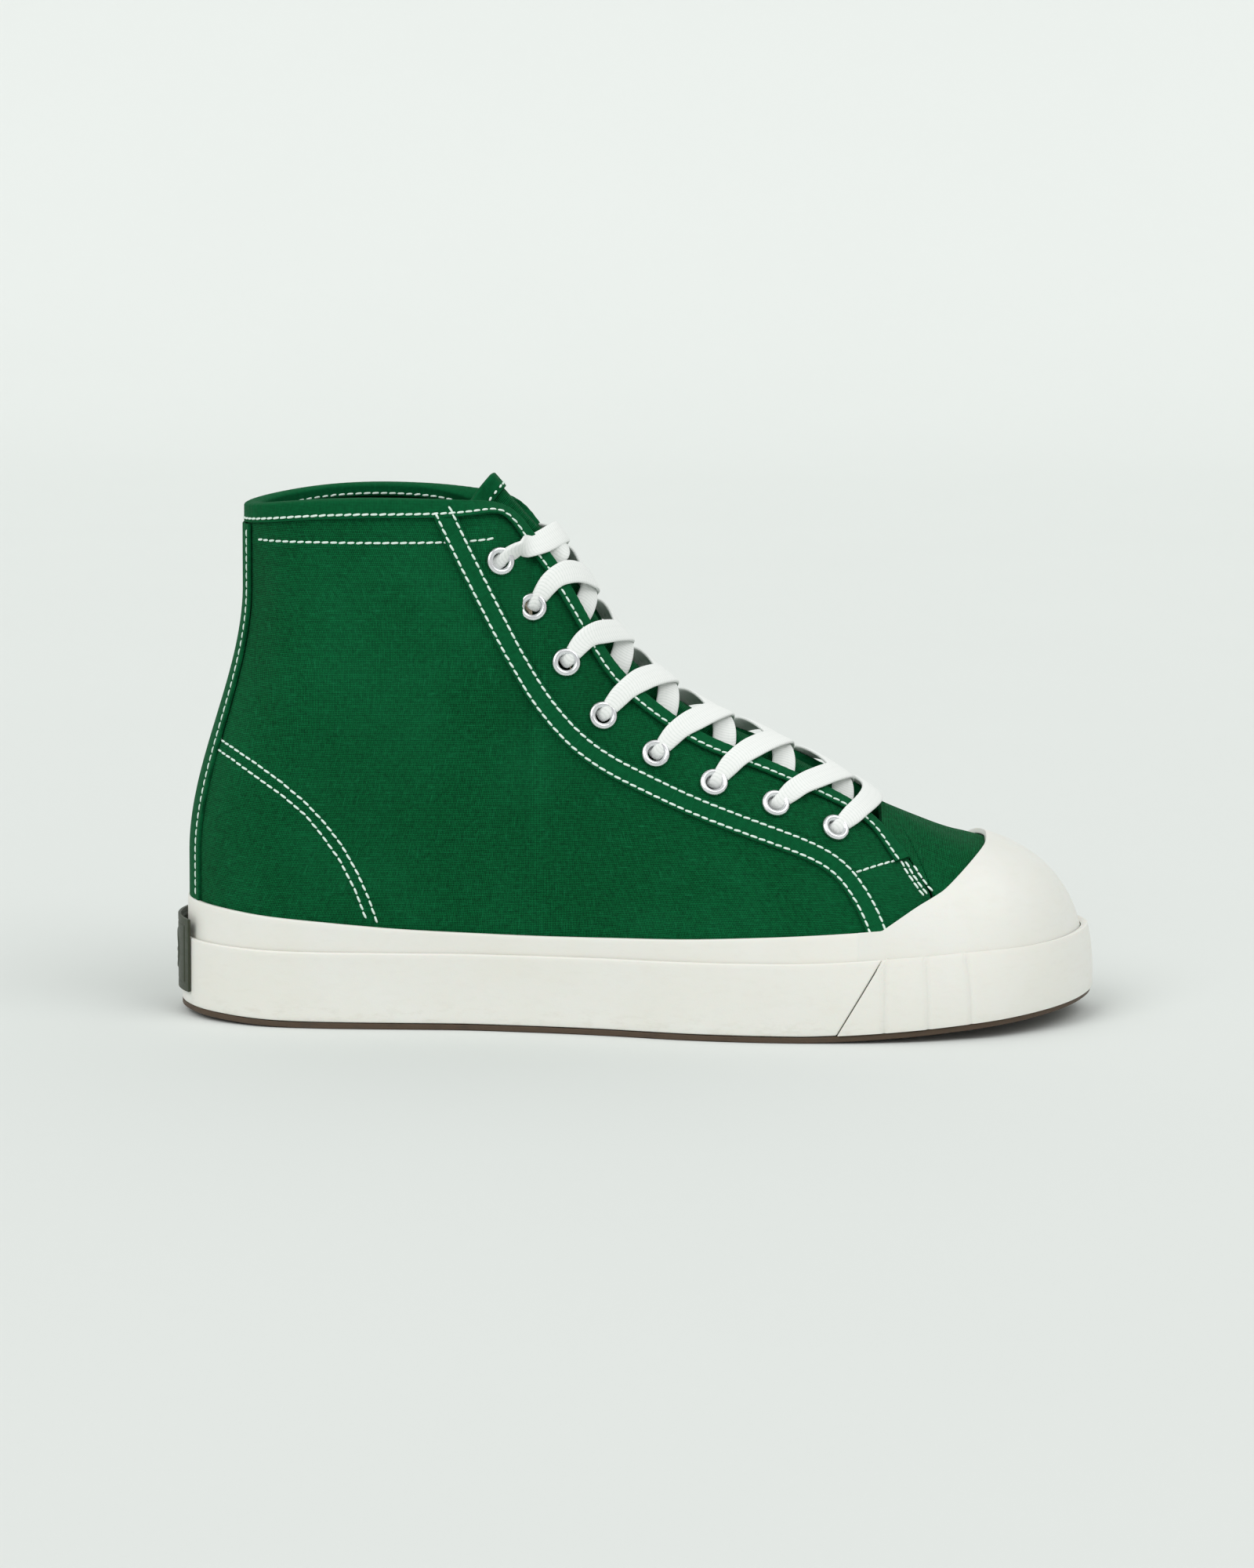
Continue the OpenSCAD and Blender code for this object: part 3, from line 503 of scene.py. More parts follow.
finishes["laceCotton"] = makeLaceCotton()
finishes["eyeletMetal"] = makeEyeletMetal()
finishes["agletPlastic"] = makeAgletPlastic()
finishes["fillerFoam"] = makeFibre("fillerFoam", (0.42, 0.34, 0.22), (0.60, 0.52, 0.38), 700, 0.85)
finishes["boardFibre"] = makeFibre("boardFibre", (0.30, 0.22, 0.13), (0.52, 0.42, 0.28), 420, 0.9)
print("finishes mixed")


def dress(piece, finish, body="shoe", replaces=()):
    piece.data.materials.clear()
    piece.data.materials.append(finishes[finish])
    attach(piece, body)
    if replaces:
        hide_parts(*replaces)
    return piece


def pickOnly(piece):
    if bpy.context.object and bpy.context.object.mode != "OBJECT":
        bpy.ops.object.mode_set(mode="OBJECT")
    bpy.ops.object.select_all(action="DESELECT")
    piece.select_set(True)
    bpy.context.view_layer.objects.active = piece


def inEditMode(piece, step):
    pickOnly(piece)
    bpy.ops.object.mode_set(mode="EDIT")
    bpy.ops.mesh.select_all(action="SELECT")
    step()
    bpy.ops.object.mode_set(mode="OBJECT")


def softEdges(piece, degrees=40):
    pickOnly(piece)
    bpy.ops.object.shade_smooth_by_angle(angle=math.radians(degrees))


def useModifier(piece, kind, **settings):
    pickOnly(piece)
    added = piece.modifiers.new(kind.title(), kind)
    for key, value in settings.items():
        setattr(added, key, value)
    bpy.ops.object.modifier_apply(modifier=added.name)


def clothUv(points):
    # distances along the rows and up the columns, so that a weave keeps its size
    across = np.zeros(points.shape[:2])
    up = np.zeros(points.shape[:2])
    across[:, 1:] = np.cumsum(np.linalg.norm(np.diff(points, axis=1), axis=2), axis=1)
    up[1:] = np.cumsum(np.linalg.norm(np.diff(points, axis=0), axis=2), axis=0)
    middle = points.shape[1] // 2
    across -= across[:, middle:middle + 1]
    return np.stack([across, up], axis=-1)


def layGrid(name, points, uv=None, outward=None, wrapped=False):
    # a flat grid is added, then each of its corners is laid at its point; points come in millimetres
    rows, columns = points.shape[0] - 1, points.shape[1] - 1
    uv = clothUv(points) if uv is None else uv
    if bpy.context.object and bpy.context.object.mode != "OBJECT":
        bpy.ops.object.mode_set(mode="OBJECT")
    bpy.ops.object.select_all(action="DESELECT")
    bpy.ops.mesh.primitive_grid_add(x_subdivisions=columns, y_subdivisions=rows, size=2)
    piece = bpy.context.object
    piece.name = name
    mesh = piece.data
    mesh.name = name
    flat = np.empty(len(mesh.vertices) * 3)
    mesh.vertices.foreach_get("co", flat)
    flat = flat.reshape(-1, 3)
    column = np.rint((flat[:, 0] + 1) / 2 * columns).astype(int)
    row = np.rint((flat[:, 1] + 1) / 2 * rows).astype(int)
    mesh.vertices.foreach_set("co", (points[row, column] * mm).ravel())
    corner = np.empty(len(mesh.loops), dtype=int)
    mesh.loops.foreach_get("vertex_index", corner)
    layer = mesh.uv_layers[0]
    layer.name = "cloth"
    layer.data.foreach_set("uv", (uv[row[corner], column[corner]] * mm).ravel())
    mesh.update()
    if outward is not None:
        face = mesh.polygons[len(mesh.polygons) // 2]
        at = face.vertices[0]
        if face.normal.dot(Vector(outward[row[at], column[at]])) < 0:
            inEditMode(piece, bpy.ops.mesh.flip_normals)
    if wrapped:
        def close():
            bpy.ops.mesh.remove_doubles(threshold=1e-6)
            bpy.ops.mesh.select_all(action="DESELECT")
            bpy.ops.mesh.select_non_manifold(extend=False)
            bpy.ops.mesh.fill_holes(sides=0)
            bpy.ops.mesh.select_all(action="SELECT")
            bpy.ops.mesh.normals_make_consistent(inside=False)
        inEditMode(piece, close)
    return piece


def laySkin(name, q, v, t, uv=None):
    # an open sheet over the last; q and v are grids
    return layGrid(name, skinAt(q, v, t), uv, normalAt(q, v))


def thicken(piece, thick, rounding=0.0):
    useModifier(piece, "SOLIDIFY", thickness=thick * mm, offset=-1, use_quality_normals=True)
    if rounding:
        useModifier(piece, "BEVEL", width=rounding * mm, segments=3, limit_method="ANGLE",
                    angle_limit=math.radians(50))
    softEdges(piece, 45)


def sweep(name, frames, section, tuck=None):
    # a closed section (t off the last, e across) carried along frames
    points, normals, across = frames
    ring = np.array(list(section) + [section[0]])
    t = ring[None, :, 0] + (0 if tuck is None else tuck)
    grid = points[:, None] + normals[:, None] * t[..., None] + across[:, None] * ring[None, :, 1, None]
    lengths = np.concatenate([[0], np.cumsum(np.linalg.norm(np.diff(ring, axis=0), axis=1))])
    uv = np.stack(np.broadcast_arrays(lengths[None, :], arcLength(points)[:, None]), axis=-1)
    piece = layGrid(name, grid, uv, wrapped=True)
    softEdges(piece, 60)
    return piece


def bar(low, high, left, right, radius, steps=3):
    # rounded rectangle from t low to high and e left to right
    top, bottom = high - radius, low + radius
    corners = [(top, right - radius), (top, left + radius), (bottom, left + radius), (bottom, right - radius)]
    spans = [(0, 90), (-90, 0), (180, 270), (90, 180)]
    out = []
    for (t, e), (a, b) in zip(corners, spans):
        for k in range(steps + 1):
            angle = math.radians(b + (a - b) * k / steps)
            out.append((t + radius * math.cos(angle), e + radius * math.sin(angle)))
    return out


def foldSection(depthIn, width, legIn, top=1.15):
    # tape folded over an edge: outer leg, round fold, inner leg
    tape = upper["tape"]
    outT, inT = gap["trim"] + tape, depthIn - tape
    middle, half = (outT + inT) / 2, (outT - inT) / 2
    arch = [(middle + half * math.cos(a), top * math.sin(a)) for a in np.linspace(0, math.pi, 13)]
    inside = half - tape
    under = [(middle - inside * math.cos(a), (top - tape) * math.sin(a)) for a in np.linspace(0, math.pi, 9)]
    bend, blunt = 0.4, 0.12
    outer = [(outT, -e) for e in np.linspace(width, bend, 8)]
    rim = [(outT - blunt, -width - blunt), (gap["trim"] + blunt, -width - blunt)]
    inner = [(inT, -e) for e in np.linspace(bend, legIn, 5)]
    rimIn = [(inT + blunt, -legIn - blunt), (depthIn - blunt, -legIn - blunt)]
    backIn = [(depthIn, -e) for e in np.linspace(legIn, bend, 4)]
    backOut = [(gap["trim"], -e) for e in np.linspace(bend, width, 6)]
    return outer + arch + inner + rimIn + backIn + under + backOut + rim


print("tools ready")


def easeRun(rows, reach=7):
    # rounds the corners of a run by a running mean
    padded = np.vstack([np.repeat(rows[:1], reach, axis=0), rows, np.repeat(rows[-1:], reach, axis=0)])
    total = np.cumsum(np.vstack([np.zeros((1, rows.shape[1])), padded]), axis=0)
    width = 2 * reach + 1
    return (total[width:] - total[:-width]) / width


def eyeletPlaces(side):
    row = throatLine[throatLine[:, 0] <= 88]
    q = station(side, row[:, 0])
    points, _, across = framesAlong(np.stack([q, vEdge(side, q)], axis=1), -side)
    back = points - across * lacing["inset"]
    q = station(side, back[:, 0])
    places = np.stack([q, vAtZ(q, back[:, 2])], axis=1)
    arc = arcLength(lastAt(places[:, 0], places[:, 1]))
    s = lacing["first"] + lacing["pitch"] * np.arange(lacing["eyelets"])
    return np.stack([np.interp(s, arc, places[:, 0]), np.interp(s, arc, places[:, 1])], axis=1)


eyeletsAt = {-1: eyeletPlaces(-1), 1: eyeletPlaces(1)}
tongueCrest = -3.6
laceOut = gap["trim"] + upper["tape"] + 1.05
laceUnder = -liningIn - upper["tape"] - gap["trim"] - gap["layer"] - lacing["thick"]


def level(normal, y):
    if abs(y) < 0.01:
        normal = normal * np.array([1, 0, 1])
    return unit(normal)


def overSpot(a, b, u, t):
    # a point u of the way from eyelet a to eyelet b, t off the last
    pa, pb = lastAt(*a), lastAt(*b)
    x = pa[0] + (pb[0] - pa[0]) * u + lacing["lead"] * 4 * u * (1 - u)
    y = pa[1] + (pb[1] - pa[1]) * u
    q = float(station(-1 if y < 0 else 1, x))
    low, high = 0.0, 1.0
    for _ in range(14):
        m = (low + high) / 2
        if abs(lastAt(q, m)[1]) > abs(y):
            low = m
        else:
            high = m
    v = (low + high) / 2
    return lastAt(q, v) + level(normalAt(q, v), y) * t


def boreSpot(p):
    return skinAt(p[0], p[1], -liningIn / 2)


def crossing(a, b, high, lift):
    over = tongueCrest + 2.8 + lacing["thick"] / 2 + (lacing["thick"] + gap["layer"] if high else 0)
    spots = [(0.09, laceOut), (0.22, laceOut - 0.3), (0.5, over),
             (0.68, laceUnder / 2 + 0.4 + lift), (0.87, laceUnder + lift * 0.4)]
    return [boreSpot(a)] + [overSpot(a, b, u, t) for u, t in spots]


def halfLace(first):
    out = []
    for k in range(lacing["eyelets"] - 1):
        side = first if k % 2 == 0 else -first
        out += crossing(eyeletsAt[side][k], eyeletsAt[-side][k + 1], side < 0, 3.2 if k == 0 else 0)
    return out


tailPoints = [(-0.050, 0.0195, 0.143), (-0.056, 0.0205, 0.125), (-0.058, 0.0215, 0.103),
              (-0.058, 0.0225, 0.080), (-0.057, 0.023, 0.058)]
tailEnd = (-0.056, 0.0235, 0.050)


def laceTail(side):
    return [np.array([p[0], side * p[1], p[2]]) / mm for p in [tailEnd] + tailPoints[::-1]]


def laceRoute():
    n = lacing["eyelets"] - 1
    side = -1 if n % 2 == 0 else 1
    a, b = eyeletsAt[side][n], eyeletsAt[-side][n]
    spots = [(0.13, laceOut), (0.5, lacing["thick"]), (0.87, laceOut)]
    foot = [boreSpot(a)] + [overSpot(a, b, u, t) for u, t in spots] + [boreSpot(b)]
    return np.array(laceTail(-1) + halfLace(-1) + foot + halfLace(1)[::-1] + laceTail(1)[::-1])


def laceSizes(count):
    # half width and half thickness at each point of the route; drawn in where it goes through an eyelet
    kinds = ["full"] * count
    first = len(tailPoints) + 1
    perCrossing = 6
    for k in range(lacing["eyelets"]):
        kinds[first + perCrossing * k] = "squeezed"
        kinds[count - 1 - first - perCrossing * k] = "squeezed"
    for i in range(1, count - 1):        # still a little gathered just outside the eyelet
        if kinds[i] == "full" and "squeezed" in (kinds[i - 1], kinds[i + 1]):
            kinds[i] = "gathered"
    kinds[0] = kinds[-1] = "tip"
    return np.array([lacing[kind] for kind in kinds])


def meet(a, b, start, end, s):
    return (end - s) / (end - start) * a + (s - start) / (end - start) * b


def roundCurve(route):
    # centripetal curve through the route's points, with how far along the route each point is
    count = len(route)
    knots = np.concatenate([[0], np.cumsum(np.sqrt(np.linalg.norm(np.diff(route, axis=0), axis=1)))])
    fine = []
    for i in range(count - 1):
        before, after = max(0, i - 1), min(count - 1, i + 2)
        p = [route[before], route[i], route[i + 1], route[after]]
        t = [knots[before] - (i == 0), knots[i], knots[i + 1], knots[after] + (i == count - 2)]
        steps = max(3, int(np.linalg.norm(route[i + 1] - route[i]) / 1.1))
        for s in np.linspace(t[1], t[2], steps, endpoint=False):
            a = [meet(p[j], p[j + 1], t[j], t[j + 1], s) for j in range(3)]
            b = [meet(a[j], a[j + 1], t[j], t[j + 2], s) for j in range(2)]
            point = meet(b[0], b[1], t[1], t[2], s)
            fine.append(np.concatenate([point, [i + (s - t[1]) / (t[2] - t[1])]]))
    fine.append(np.concatenate([route[-1], [count - 1]]))
    fine = np.array(fine)
    return fine[:, :3], fine[:, 3]


def makeLace():
    route = laceRoute()
    count = len(route)
    sizes = laceSizes(count)
    lean = np.tile([1.0, 0, 0], (count, 1))
    x = np.minimum(route[:, 0], 78)
    along = unit(lastAt(station(-1, x + 1), 1) - lastAt(station(-1, x - 1), 1))
    laced = slice(len(tailPoints) + 2, -len(tailPoints) - 2)        # all but the tails
    lean[laced] = along[laced]
    path, at = roundCurve(route)
    path = easeRun(easeRun(path, 2), 2)
    path[0], path[-1] = route[0], route[-1]
    ease = np.floor(at) + smooth(at - np.floor(at))
    half = np.stack([np.interp(ease, np.arange(count), sizes[:, k]) for k in range(2)], axis=1)
    g = np.stack([np.interp(at, np.arange(count), lean[:, k]) for k in range(3)], axis=1)
    d = unit(np.vstack([path[1:], path[-1:]]) - np.vstack([path[:1], path[:-1]]))
    wide = unit(g - d * np.sum(g * d, axis=1, keepdims=True))
    flat = np.cross(d, wide)
    angles = np.linspace(0, 2 * math.pi, 25)
    c, s = np.cos(angles), np.sin(angles)
    ringWide = np.sign(c) * np.abs(c) ** 0.8
    ringFlat = np.sign(s) * np.abs(s) ** 0.55
    toSide = wide[:, None] * (half[:, 0:1] * ringWide)[..., None]
    toFace = flat[:, None] * (half[:, 1:2] * ringFlat)[..., None]
    grid = path[:, None] + toSide + toFace
    turned = angles / (2 * math.pi) / mm
    uv = np.stack(np.broadcast_arrays(turned[None, :], arcLength(path)[:, None]), axis=-1)
    lace = layGrid("laceFlat", grid, uv, wrapped=True)
    softEdges(lace, 60)
    dress(lace, "laceCotton", replaces=["lace"])
    route = path * mm


makeLace()
print("lace threaded")

# seam lines, side view: x and height
seams = {
    "counterUpper": [(-137.9, 92.2), (-130, 89.3), (-122.1, 85.3), (-113.5, 79.9), (-105.8, 73.8), (-99.2, 67),
                     (-93.6, 59.7), (-88.5, 50.5), (-84.9, 42), (-82.1, 33.5)],
    "counterLower": [(-138.4, 89), (-130, 85.7), (-122.1, 81.2), (-113, 75.6), (-105, 69), (-99.4, 62.2),
                     (-94.4, 55.1), (-89.4, 45.2), (-85.6, 34.7)],
    "collarSecond": [(-121.5, 156.6), (-100, 157), (-80, 157), (-62, 157), (-50, 157.4), (-44, 158)],
    "frontFirst": [(86.2, 55.0), (88.2, 51.5), (91.2, 47.5), (94, 44)],
    "frontSecond": [(87.8, 54.6), (90.0, 51.0), (92.8, 47.2), (95.4, 44.2)],
    "frontThird": [(90.4, 53.4), (92.4, 50.4), (95.0, 47.2), (97.2, 45)],
    "crossBar": [(71.5, 52.4), (79.5, 54.2), (86.0, 55.2)],
}
tapeCentre = np.array([[-62, 170], [-59, 162.5], [-48.3, 141], [-36.5, 118], [-28, 105], [-18, 93.8],
                       [-8, 86.5], [2, 81.5], [19.5, 73.5], [37, 67], [54.5, 60.5], [65, 55], [71, 48.5],
                       [74.5, 43], [76.5, 39.5], [78, 36]])
tapeFine = np.array([spline(tapeCentre[i - 1], tapeCentre[i], tapeCentre[i + 1], tapeCentre[i + 2], f)
                     for i in range(1, len(tapeCentre) - 2) for f in np.arange(0, 1, 0.1)] + [tapeCentre[-2]])


def sidePlaces(line, side, step=fineStep):
    line = np.array(line, float)
    s = arcLength(line)
    fine = np.arange(0, s[-1], 1.0)
    x, z = np.interp(fine, s, line[:, 0]), np.interp(fine, s, line[:, 1])
    plan = x.copy()
    for _ in range(12):                  # the ribs lean in at heel and toe, so the place is found by steps
        q = station(side, plan)
        missed = x - lastAt(q, vAtZ(q, z))[..., 0]
        plan = np.clip(plan + 0.8 * missed, 0.1 - shape["end"], shape["end"] - 0.1)
    q = station(side, plan)
    return evenly(np.stack([q, vAtZ(q, z)], axis=1), step)


def distanceTo(x, z, line):
    line = np.array(line, float)
    best = np.full(x.shape, 1e9)
    for a, b in zip(line[:-1], line[1:]):
        d = b - a
        f = np.clip(((x - a[0]) * d[0] + (z - a[1]) * d[1]) / (d @ d), 0, 1)
        best = np.minimum(best, np.hypot(x - a[0] - f * d[0], z - a[1] - f * d[1]))
    return best


def softNoise(points, scale, seed):
    flat = points.reshape(-1, 3) * scale + seed
    return np.array([noise.noise(Vector(p)) for p in flat]).reshape(points.shape[:-1])


panelSet = {"columns": 250, "rows": 120, "liningColumns": 150, "liningRows": 70, "hole": 3.4,
            "seamDent": 0.26, "dentWide": 0.8, "counterRise": 0.34, "softness": 0.55}
staySet = {"back": -57, "front": 76, "columns": 119, "rows": 24}
vampSet = {"columns": 150, "rows": 80, "tuck": 0.035, "top": 0.9985, "slack": 0.35}
heelSet = {"spread": 5.2, "high": 84, "low": 52, "tapeTop": 0.965, "seam": 0.84, "dent": 0.18, "over": 0.45}


def quarterPlaces(side, columns, rows):
    back = 0.02 if side < 0 else fullTurn - 0.02
    q = back + (station(side, frontX) - back) * np.linspace(0, 1, columns + 1)
    low, high = vFeather(q), vEdge(side, q)
    f = np.linspace(0, 1, rows + 1)[:, None]
    return np.broadcast_to(q, (rows + 1, columns + 1)), low + (high - low) * f


def canvasRelief(q, v, side):
    # dents along the seams, the raised heel patch and the slack of the cloth
    p = lastAt(q, v)
    x, z = p[..., 0], p[..., 2]
    t = np.zeros(q.shape)
    for name in ("counterUpper", "counterLower", "collarSecond"):
        t -= panelSet["seamDent"] * np.exp(-(distanceTo(x, z, seams[name]) / panelSet["dentWide"]) ** 2)
    patch = np.array(seams["counterUpper"])
    edge = np.interp(x, patch[:, 0], patch[:, 1], left=93, right=-50)
    t += panelSet["counterRise"] * smooth((edge + 0.8 - z) / 1.6)
    offTape, offCollar = smooth((distanceTo(x, z, tapeCentre) - 4.5) / 14), smooth((154 - z) / 10)
    free = offTape * smooth((z - 38) / 14) * offCollar * smooth((x + 122) / 10)
    behind = smooth((np.interp(z, tapeFine[::-1, 1], tapeFine[::-1, 0]) - x) / 6)
    folds = softNoise(p * np.array([1, 1, 1.7]), 0.022, side * 5.0) + 0.45 * softNoise(p, 0.06, 9.0)
    slanted = np.stack([x + 0.6 * z, p[..., 1], z * 2.6 - 0.8 * x], axis=-1)
    creases = np.maximum(0, softNoise(slanted, 0.028, 3.0))
    t += free * behind * panelSet["softness"] * (0.8 + 1.1 * folds + 1.0 * creases)
    return t


def pierce(piece, side):
    # opens the round holes for the eyelets: faces inside go, the rim is pushed out to the circle
    mesh = piece.data
    count = len(mesh.vertices)
    flat = np.empty(count * 3)
    mesh.vertices.foreach_get("co", flat)
    points = flat.reshape(-1, 3)
    radius = panelSet["hole"] * mm
    gone = np.zeros(count, bool)
    for q, v in eyeletsAt[side]:
        centre, axis = lastAt(q, v) * mm, normalAt(q, v)
        d = points - centre
        height = d @ axis
        radial = d - height[:, None] * axis
        size = np.linalg.norm(radial, axis=1)
        inside = (size < radius) & (np.abs(height) < 0.006)
        gone |= inside
        points[inside] += unit(radial[inside]) * (radius - size[inside])[:, None]
    faces = [face.index for face in mesh.polygons if all(gone[i] for i in face.vertices)]
    mesh.vertices.foreach_set("co", points.ravel())
    pickOnly(piece)
    bpy.ops.object.mode_set(mode="EDIT")
    bpy.ops.mesh.select_mode(type="FACE")
    bpy.ops.mesh.select_all(action="DESELECT")
    bpy.ops.object.mode_set(mode="OBJECT")
    for i in faces:
        mesh.polygons[i].select = True
    bpy.ops.object.mode_set(mode="EDIT")
    bpy.ops.mesh.delete(type="FACE")
    bpy.ops.mesh.select_mode(type="VERT")
    bpy.ops.object.mode_set(mode="OBJECT")


def makeQuarters():
    for side, hand in ((-1, "lateral"), (1, "medial")):
        q, v = quarterPlaces(side, panelSet["columns"], panelSet["rows"])
        quarter = laySkin("canvasQuarter_" + hand, q, v, canvasRelief(q, v, side))
        pierce(quarter, side)
        thicken(quarter, upper["canvas"])
        dress(quarter, "canvas", replaces=["quarter_" + hand])
        q, v = quarterPlaces(side, panelSet["liningColumns"], panelSet["liningRows"])
        wavy = 0.12 * softNoise(lastAt(q, v), 0.08, 2.0)
        lining = laySkin("liningCloth_" + hand, q, v, -liningIn + upper["lining"] + wavy)
        pierce(lining, side)
        thicken(lining, upper["lining"])
        dress(lining, "liningCloth", replaces=["lining_" + hand])
        x = np.linspace(staySet["back"], staySet["front"], staySet["columns"] + 1)
        q = station(side, x)
        low = vAtZ(q, np.interp(x, tapeFine[:, 0], tapeFine[:, 1])) + 0.01
        high = vEdge(side, q) - 0.008
        v = low + (high - low) * np.linspace(0, 1, staySet["rows"] + 1)[:, None]
        stay = laySkin("eyeletStay_" + hand, np.broadcast_to(q, v.shape), v, np.full(v.shape, stiffOut))
        pierce(stay, side)
        thicken(stay, upper["stiffener"])
        dress(stay, "stiffCloth", replaces=["eyestay_" + hand])


def makeVamp():
    qs = np.linspace(station(-1, poleX + 1), station(1, poleX + 1), vampSet["columns"] + 1)
    side = np.where(np.mod(qs, fullTurn) < halfTurn, -1, 1)
    x = roundLoop(outline, qs)[:, 0]
    edge = np.where(side < 0, vEdge(-1, qs), vEdge(1, qs))
    low = np.where(x < frontX + 1, edge + vampSet["tuck"], vFeather(qs))
    v = low + (vampSet["top"] - low) * np.linspace(0, 1, vampSet["rows"] + 1)[:, None]
    q = np.broadcast_to(qs, v.shape)
    p = lastAt(q, v)
    slack = vampSet["slack"] * softNoise(p, 0.05, 4.0) * smooth((0.9 - v) / 0.1)
    reach = np.zeros(v.shape)                     # weave laid out flat from the foot of the throat
    strides = np.linalg.norm(np.diff(p, axis=0), axis=2)
    reach[:-1] = np.cumsum(strides[::-1], axis=0)[::-1]
    base = roundLoop(outline, qs) - np.array([poleX, 0])
    uv = unit(base)[None] * reach[..., None]
    vamp = laySkin("canvasVamp", q, v, slack, uv)
    thicken(vamp, upper["canvas"])
    dress(vamp, "canvas", replaces=["vamp"])


def makeHeelPieces():
    f = np.linspace(-1, 1, 90)
    q = fullTurn + f * heelSet["spread"]
    low = vFeather(q)
    drop = heelSet["low"] - heelSet["high"]
    high = vAtZ(q, heelSet["high"] + drop * smooth((np.abs(f) - 0.35) / 0.65))
    v = low + (high - low) * np.linspace(0, 1, 31)[:, None]
    counter = laySkin("heelStiffener", np.broadcast_to(q, v.shape), v, np.full(v.shape, stiffOut))
    thicken(counter, upper["stiffener"])
    dress(counter, "stiffCloth", replaces=["heel_counter"])
    half = upper["stripWide"] / 2 / stationStep
    q = fullTurn + np.linspace(-half, half, 41)
    low = vAtZ(q, roundLoop(bandLoop, q)) - 0.01
    v = low + (heelSet["tapeTop"] - low) * np.linspace(0, 1, 181)[:, None]
    q = np.broadcast_to(q, v.shape)
    inward = heelSet["dent"] * np.exp(-((np.abs(q - fullTurn) - half * heelSet["seam"]) / 0.07) ** 2)
    strip = laySkin("heelTape", q, v, gap["layer"] + upper["tape"] + heelSet["over"] - inward)
    thicken(strip, upper["tape"] + 0.4, 0.22)
    dress(strip, "tapeCloth", replaces=["heel_strip"])


def easedFrames(places, flip):
    points = easeRun(easeRun(lastAt(places[:, 0], places[:, 1])))
    normals = unit(easeRun(easeRun(normalAt(places[:, 0], places[:, 1]))))
    ahead = unit(np.vstack([points[1:], points[-1:]]) - np.vstack([points[:1], points[:-1]]))
    return points, normals, unit(np.cross(normals, ahead)) * flip


def tapeFrames(side):
    # the ends run on under the edge tape and behind the sidewall
    line = np.vstack([[-62.4, 169.5], tapeFine, [78.0, 36.5], [79.6, 31.0]])
    return easedFrames(sidePlaces(line, side), side)


def makeTapes():
    for side, hand in ((-1, "lateral"), (1, "medial")):
        frames = tapeFrames(side)
        wide = upper["tapeWide"] / 2
        section = bar(gap["trim"] - 0.5, gap["trim"] + upper["tape"], -wide, wide, 0.28)
        puckered = 0.04 * np.cos(2 * math.pi * arcLength(frames[0]) / stitchSet["pitch"])
        tape = sweep("eyeletTape_" + hand, frames, section, puckered[:, None])
        dress(tape, "tapeCloth", replaces=["tape_" + hand])


bindingDepth = -liningIn - gap["trim"]


def collarPlaces():
    q = np.linspace(station(1, cornerX - 1), station(-1, cornerX - 1) + fullTurn, 400)
    return evenly(np.stack([q, np.ones(q.shape)], axis=1), fineStep)


def throatPlaces(side):
    row = throatLine[(throatLine[:, 0] > cornerX + 2) & (throatLine[:, 0] < 97)]
    fine = np.arange(row[0, 0], row[-1, 0], 0.5)
    q = station(side, fine)
    return evenly(np.stack([q, vEdge(side, q)], axis=1), fineStep)


def edgePlaces():
    # one run of tape: up the medial throat, round the collar and down the lateral throat
    up, over, down = throatPlaces(1)[::-1], collarPlaces(), throatPlaces(-1)
    return evenly(np.vstack([up, over, down + np.array([fullTurn, 0])]), fineStep)


def makeBindings():
    section = foldSection(bindingDepth, upper["binding"], upper["binding"] * 0.6)
    frames = easedFrames(edgePlaces(), 1)
    puckered = 0.05 * np.cos(2 * math.pi * arcLength(frames[0]) / stitchSet["pitch"])
    edge = sweep("edgeBinding", frames, section, puckered[:, None])
    dress(edge, "tapeCloth",
          replaces=["collar_binding", "throat_binding_lateral", "throat_binding_medial"])


makeQuarters()
makeVamp()
makeHeelPieces()
makeTapes()
makeBindings()
print("upper sewn")

tongueSet = {"topX": -30.0, "footX": 79.0, "up": (-0.66, 0, 0.755), "dip": 4.8, "wingBack": 13, "wingOut": 5,
             "wingUp": 4, "columns": 72}


def tongueHalf(x):
    return upper["tongueHalf"] * (1 - 0.26 * smooth((-x - 5) / 25) - 0.3 * smooth((x - 35) / 50))


def tongueAt(s, f, t):
    # s is x along the instep and past topX it climbs above the collar; f runs across from -1 to 1
    s, f, t = np.broadcast_arrays(np.asarray(s, float), np.asarray(f, float), np.asarray(t, float))
    x = np.maximum(s, tongueSet["topX"])
    k = np.maximum(0, tongueSet["topX"] - s)
    y = f * tongueHalf(x)
    left = y < 0
    q = np.where(left, station(-1, x), station(1, x))
    b = np.abs(roundLoop(outline, q)[..., 1])
    v = np.arccos(np.minimum(1, np.abs(y) / b) ** (ribPower(x) / 2)) / (math.pi / 2)
    n = normalAt(q, v)
    nearRidge = (np.abs(y) < 0.01)[..., None]
    n = unit(np.where(nearRidge, n * np.array([1, 0, 1]), n))
    edge = np.where(left, edgeY(-1, x), edgeY(1, x))
    dip = tongueSet["dip"] * smooth((np.abs(y) / edge - 0.25) / 0.6)
    up = unit(np.array(tongueSet["up"], float))
    back, out, rise = -tongueSet["wingBack"] * f * f, tongueSet["wingOut"] * f, tongueSet["wingUp"] * f * f
    wing = np.stack([back, out, rise], axis=-1)
    spread = wing * (k / upper["tongueRise"])[..., None]
    return lastAt(q, v) + n * (tongueCrest - dip + t)[..., None] + up * k[..., None] + spread


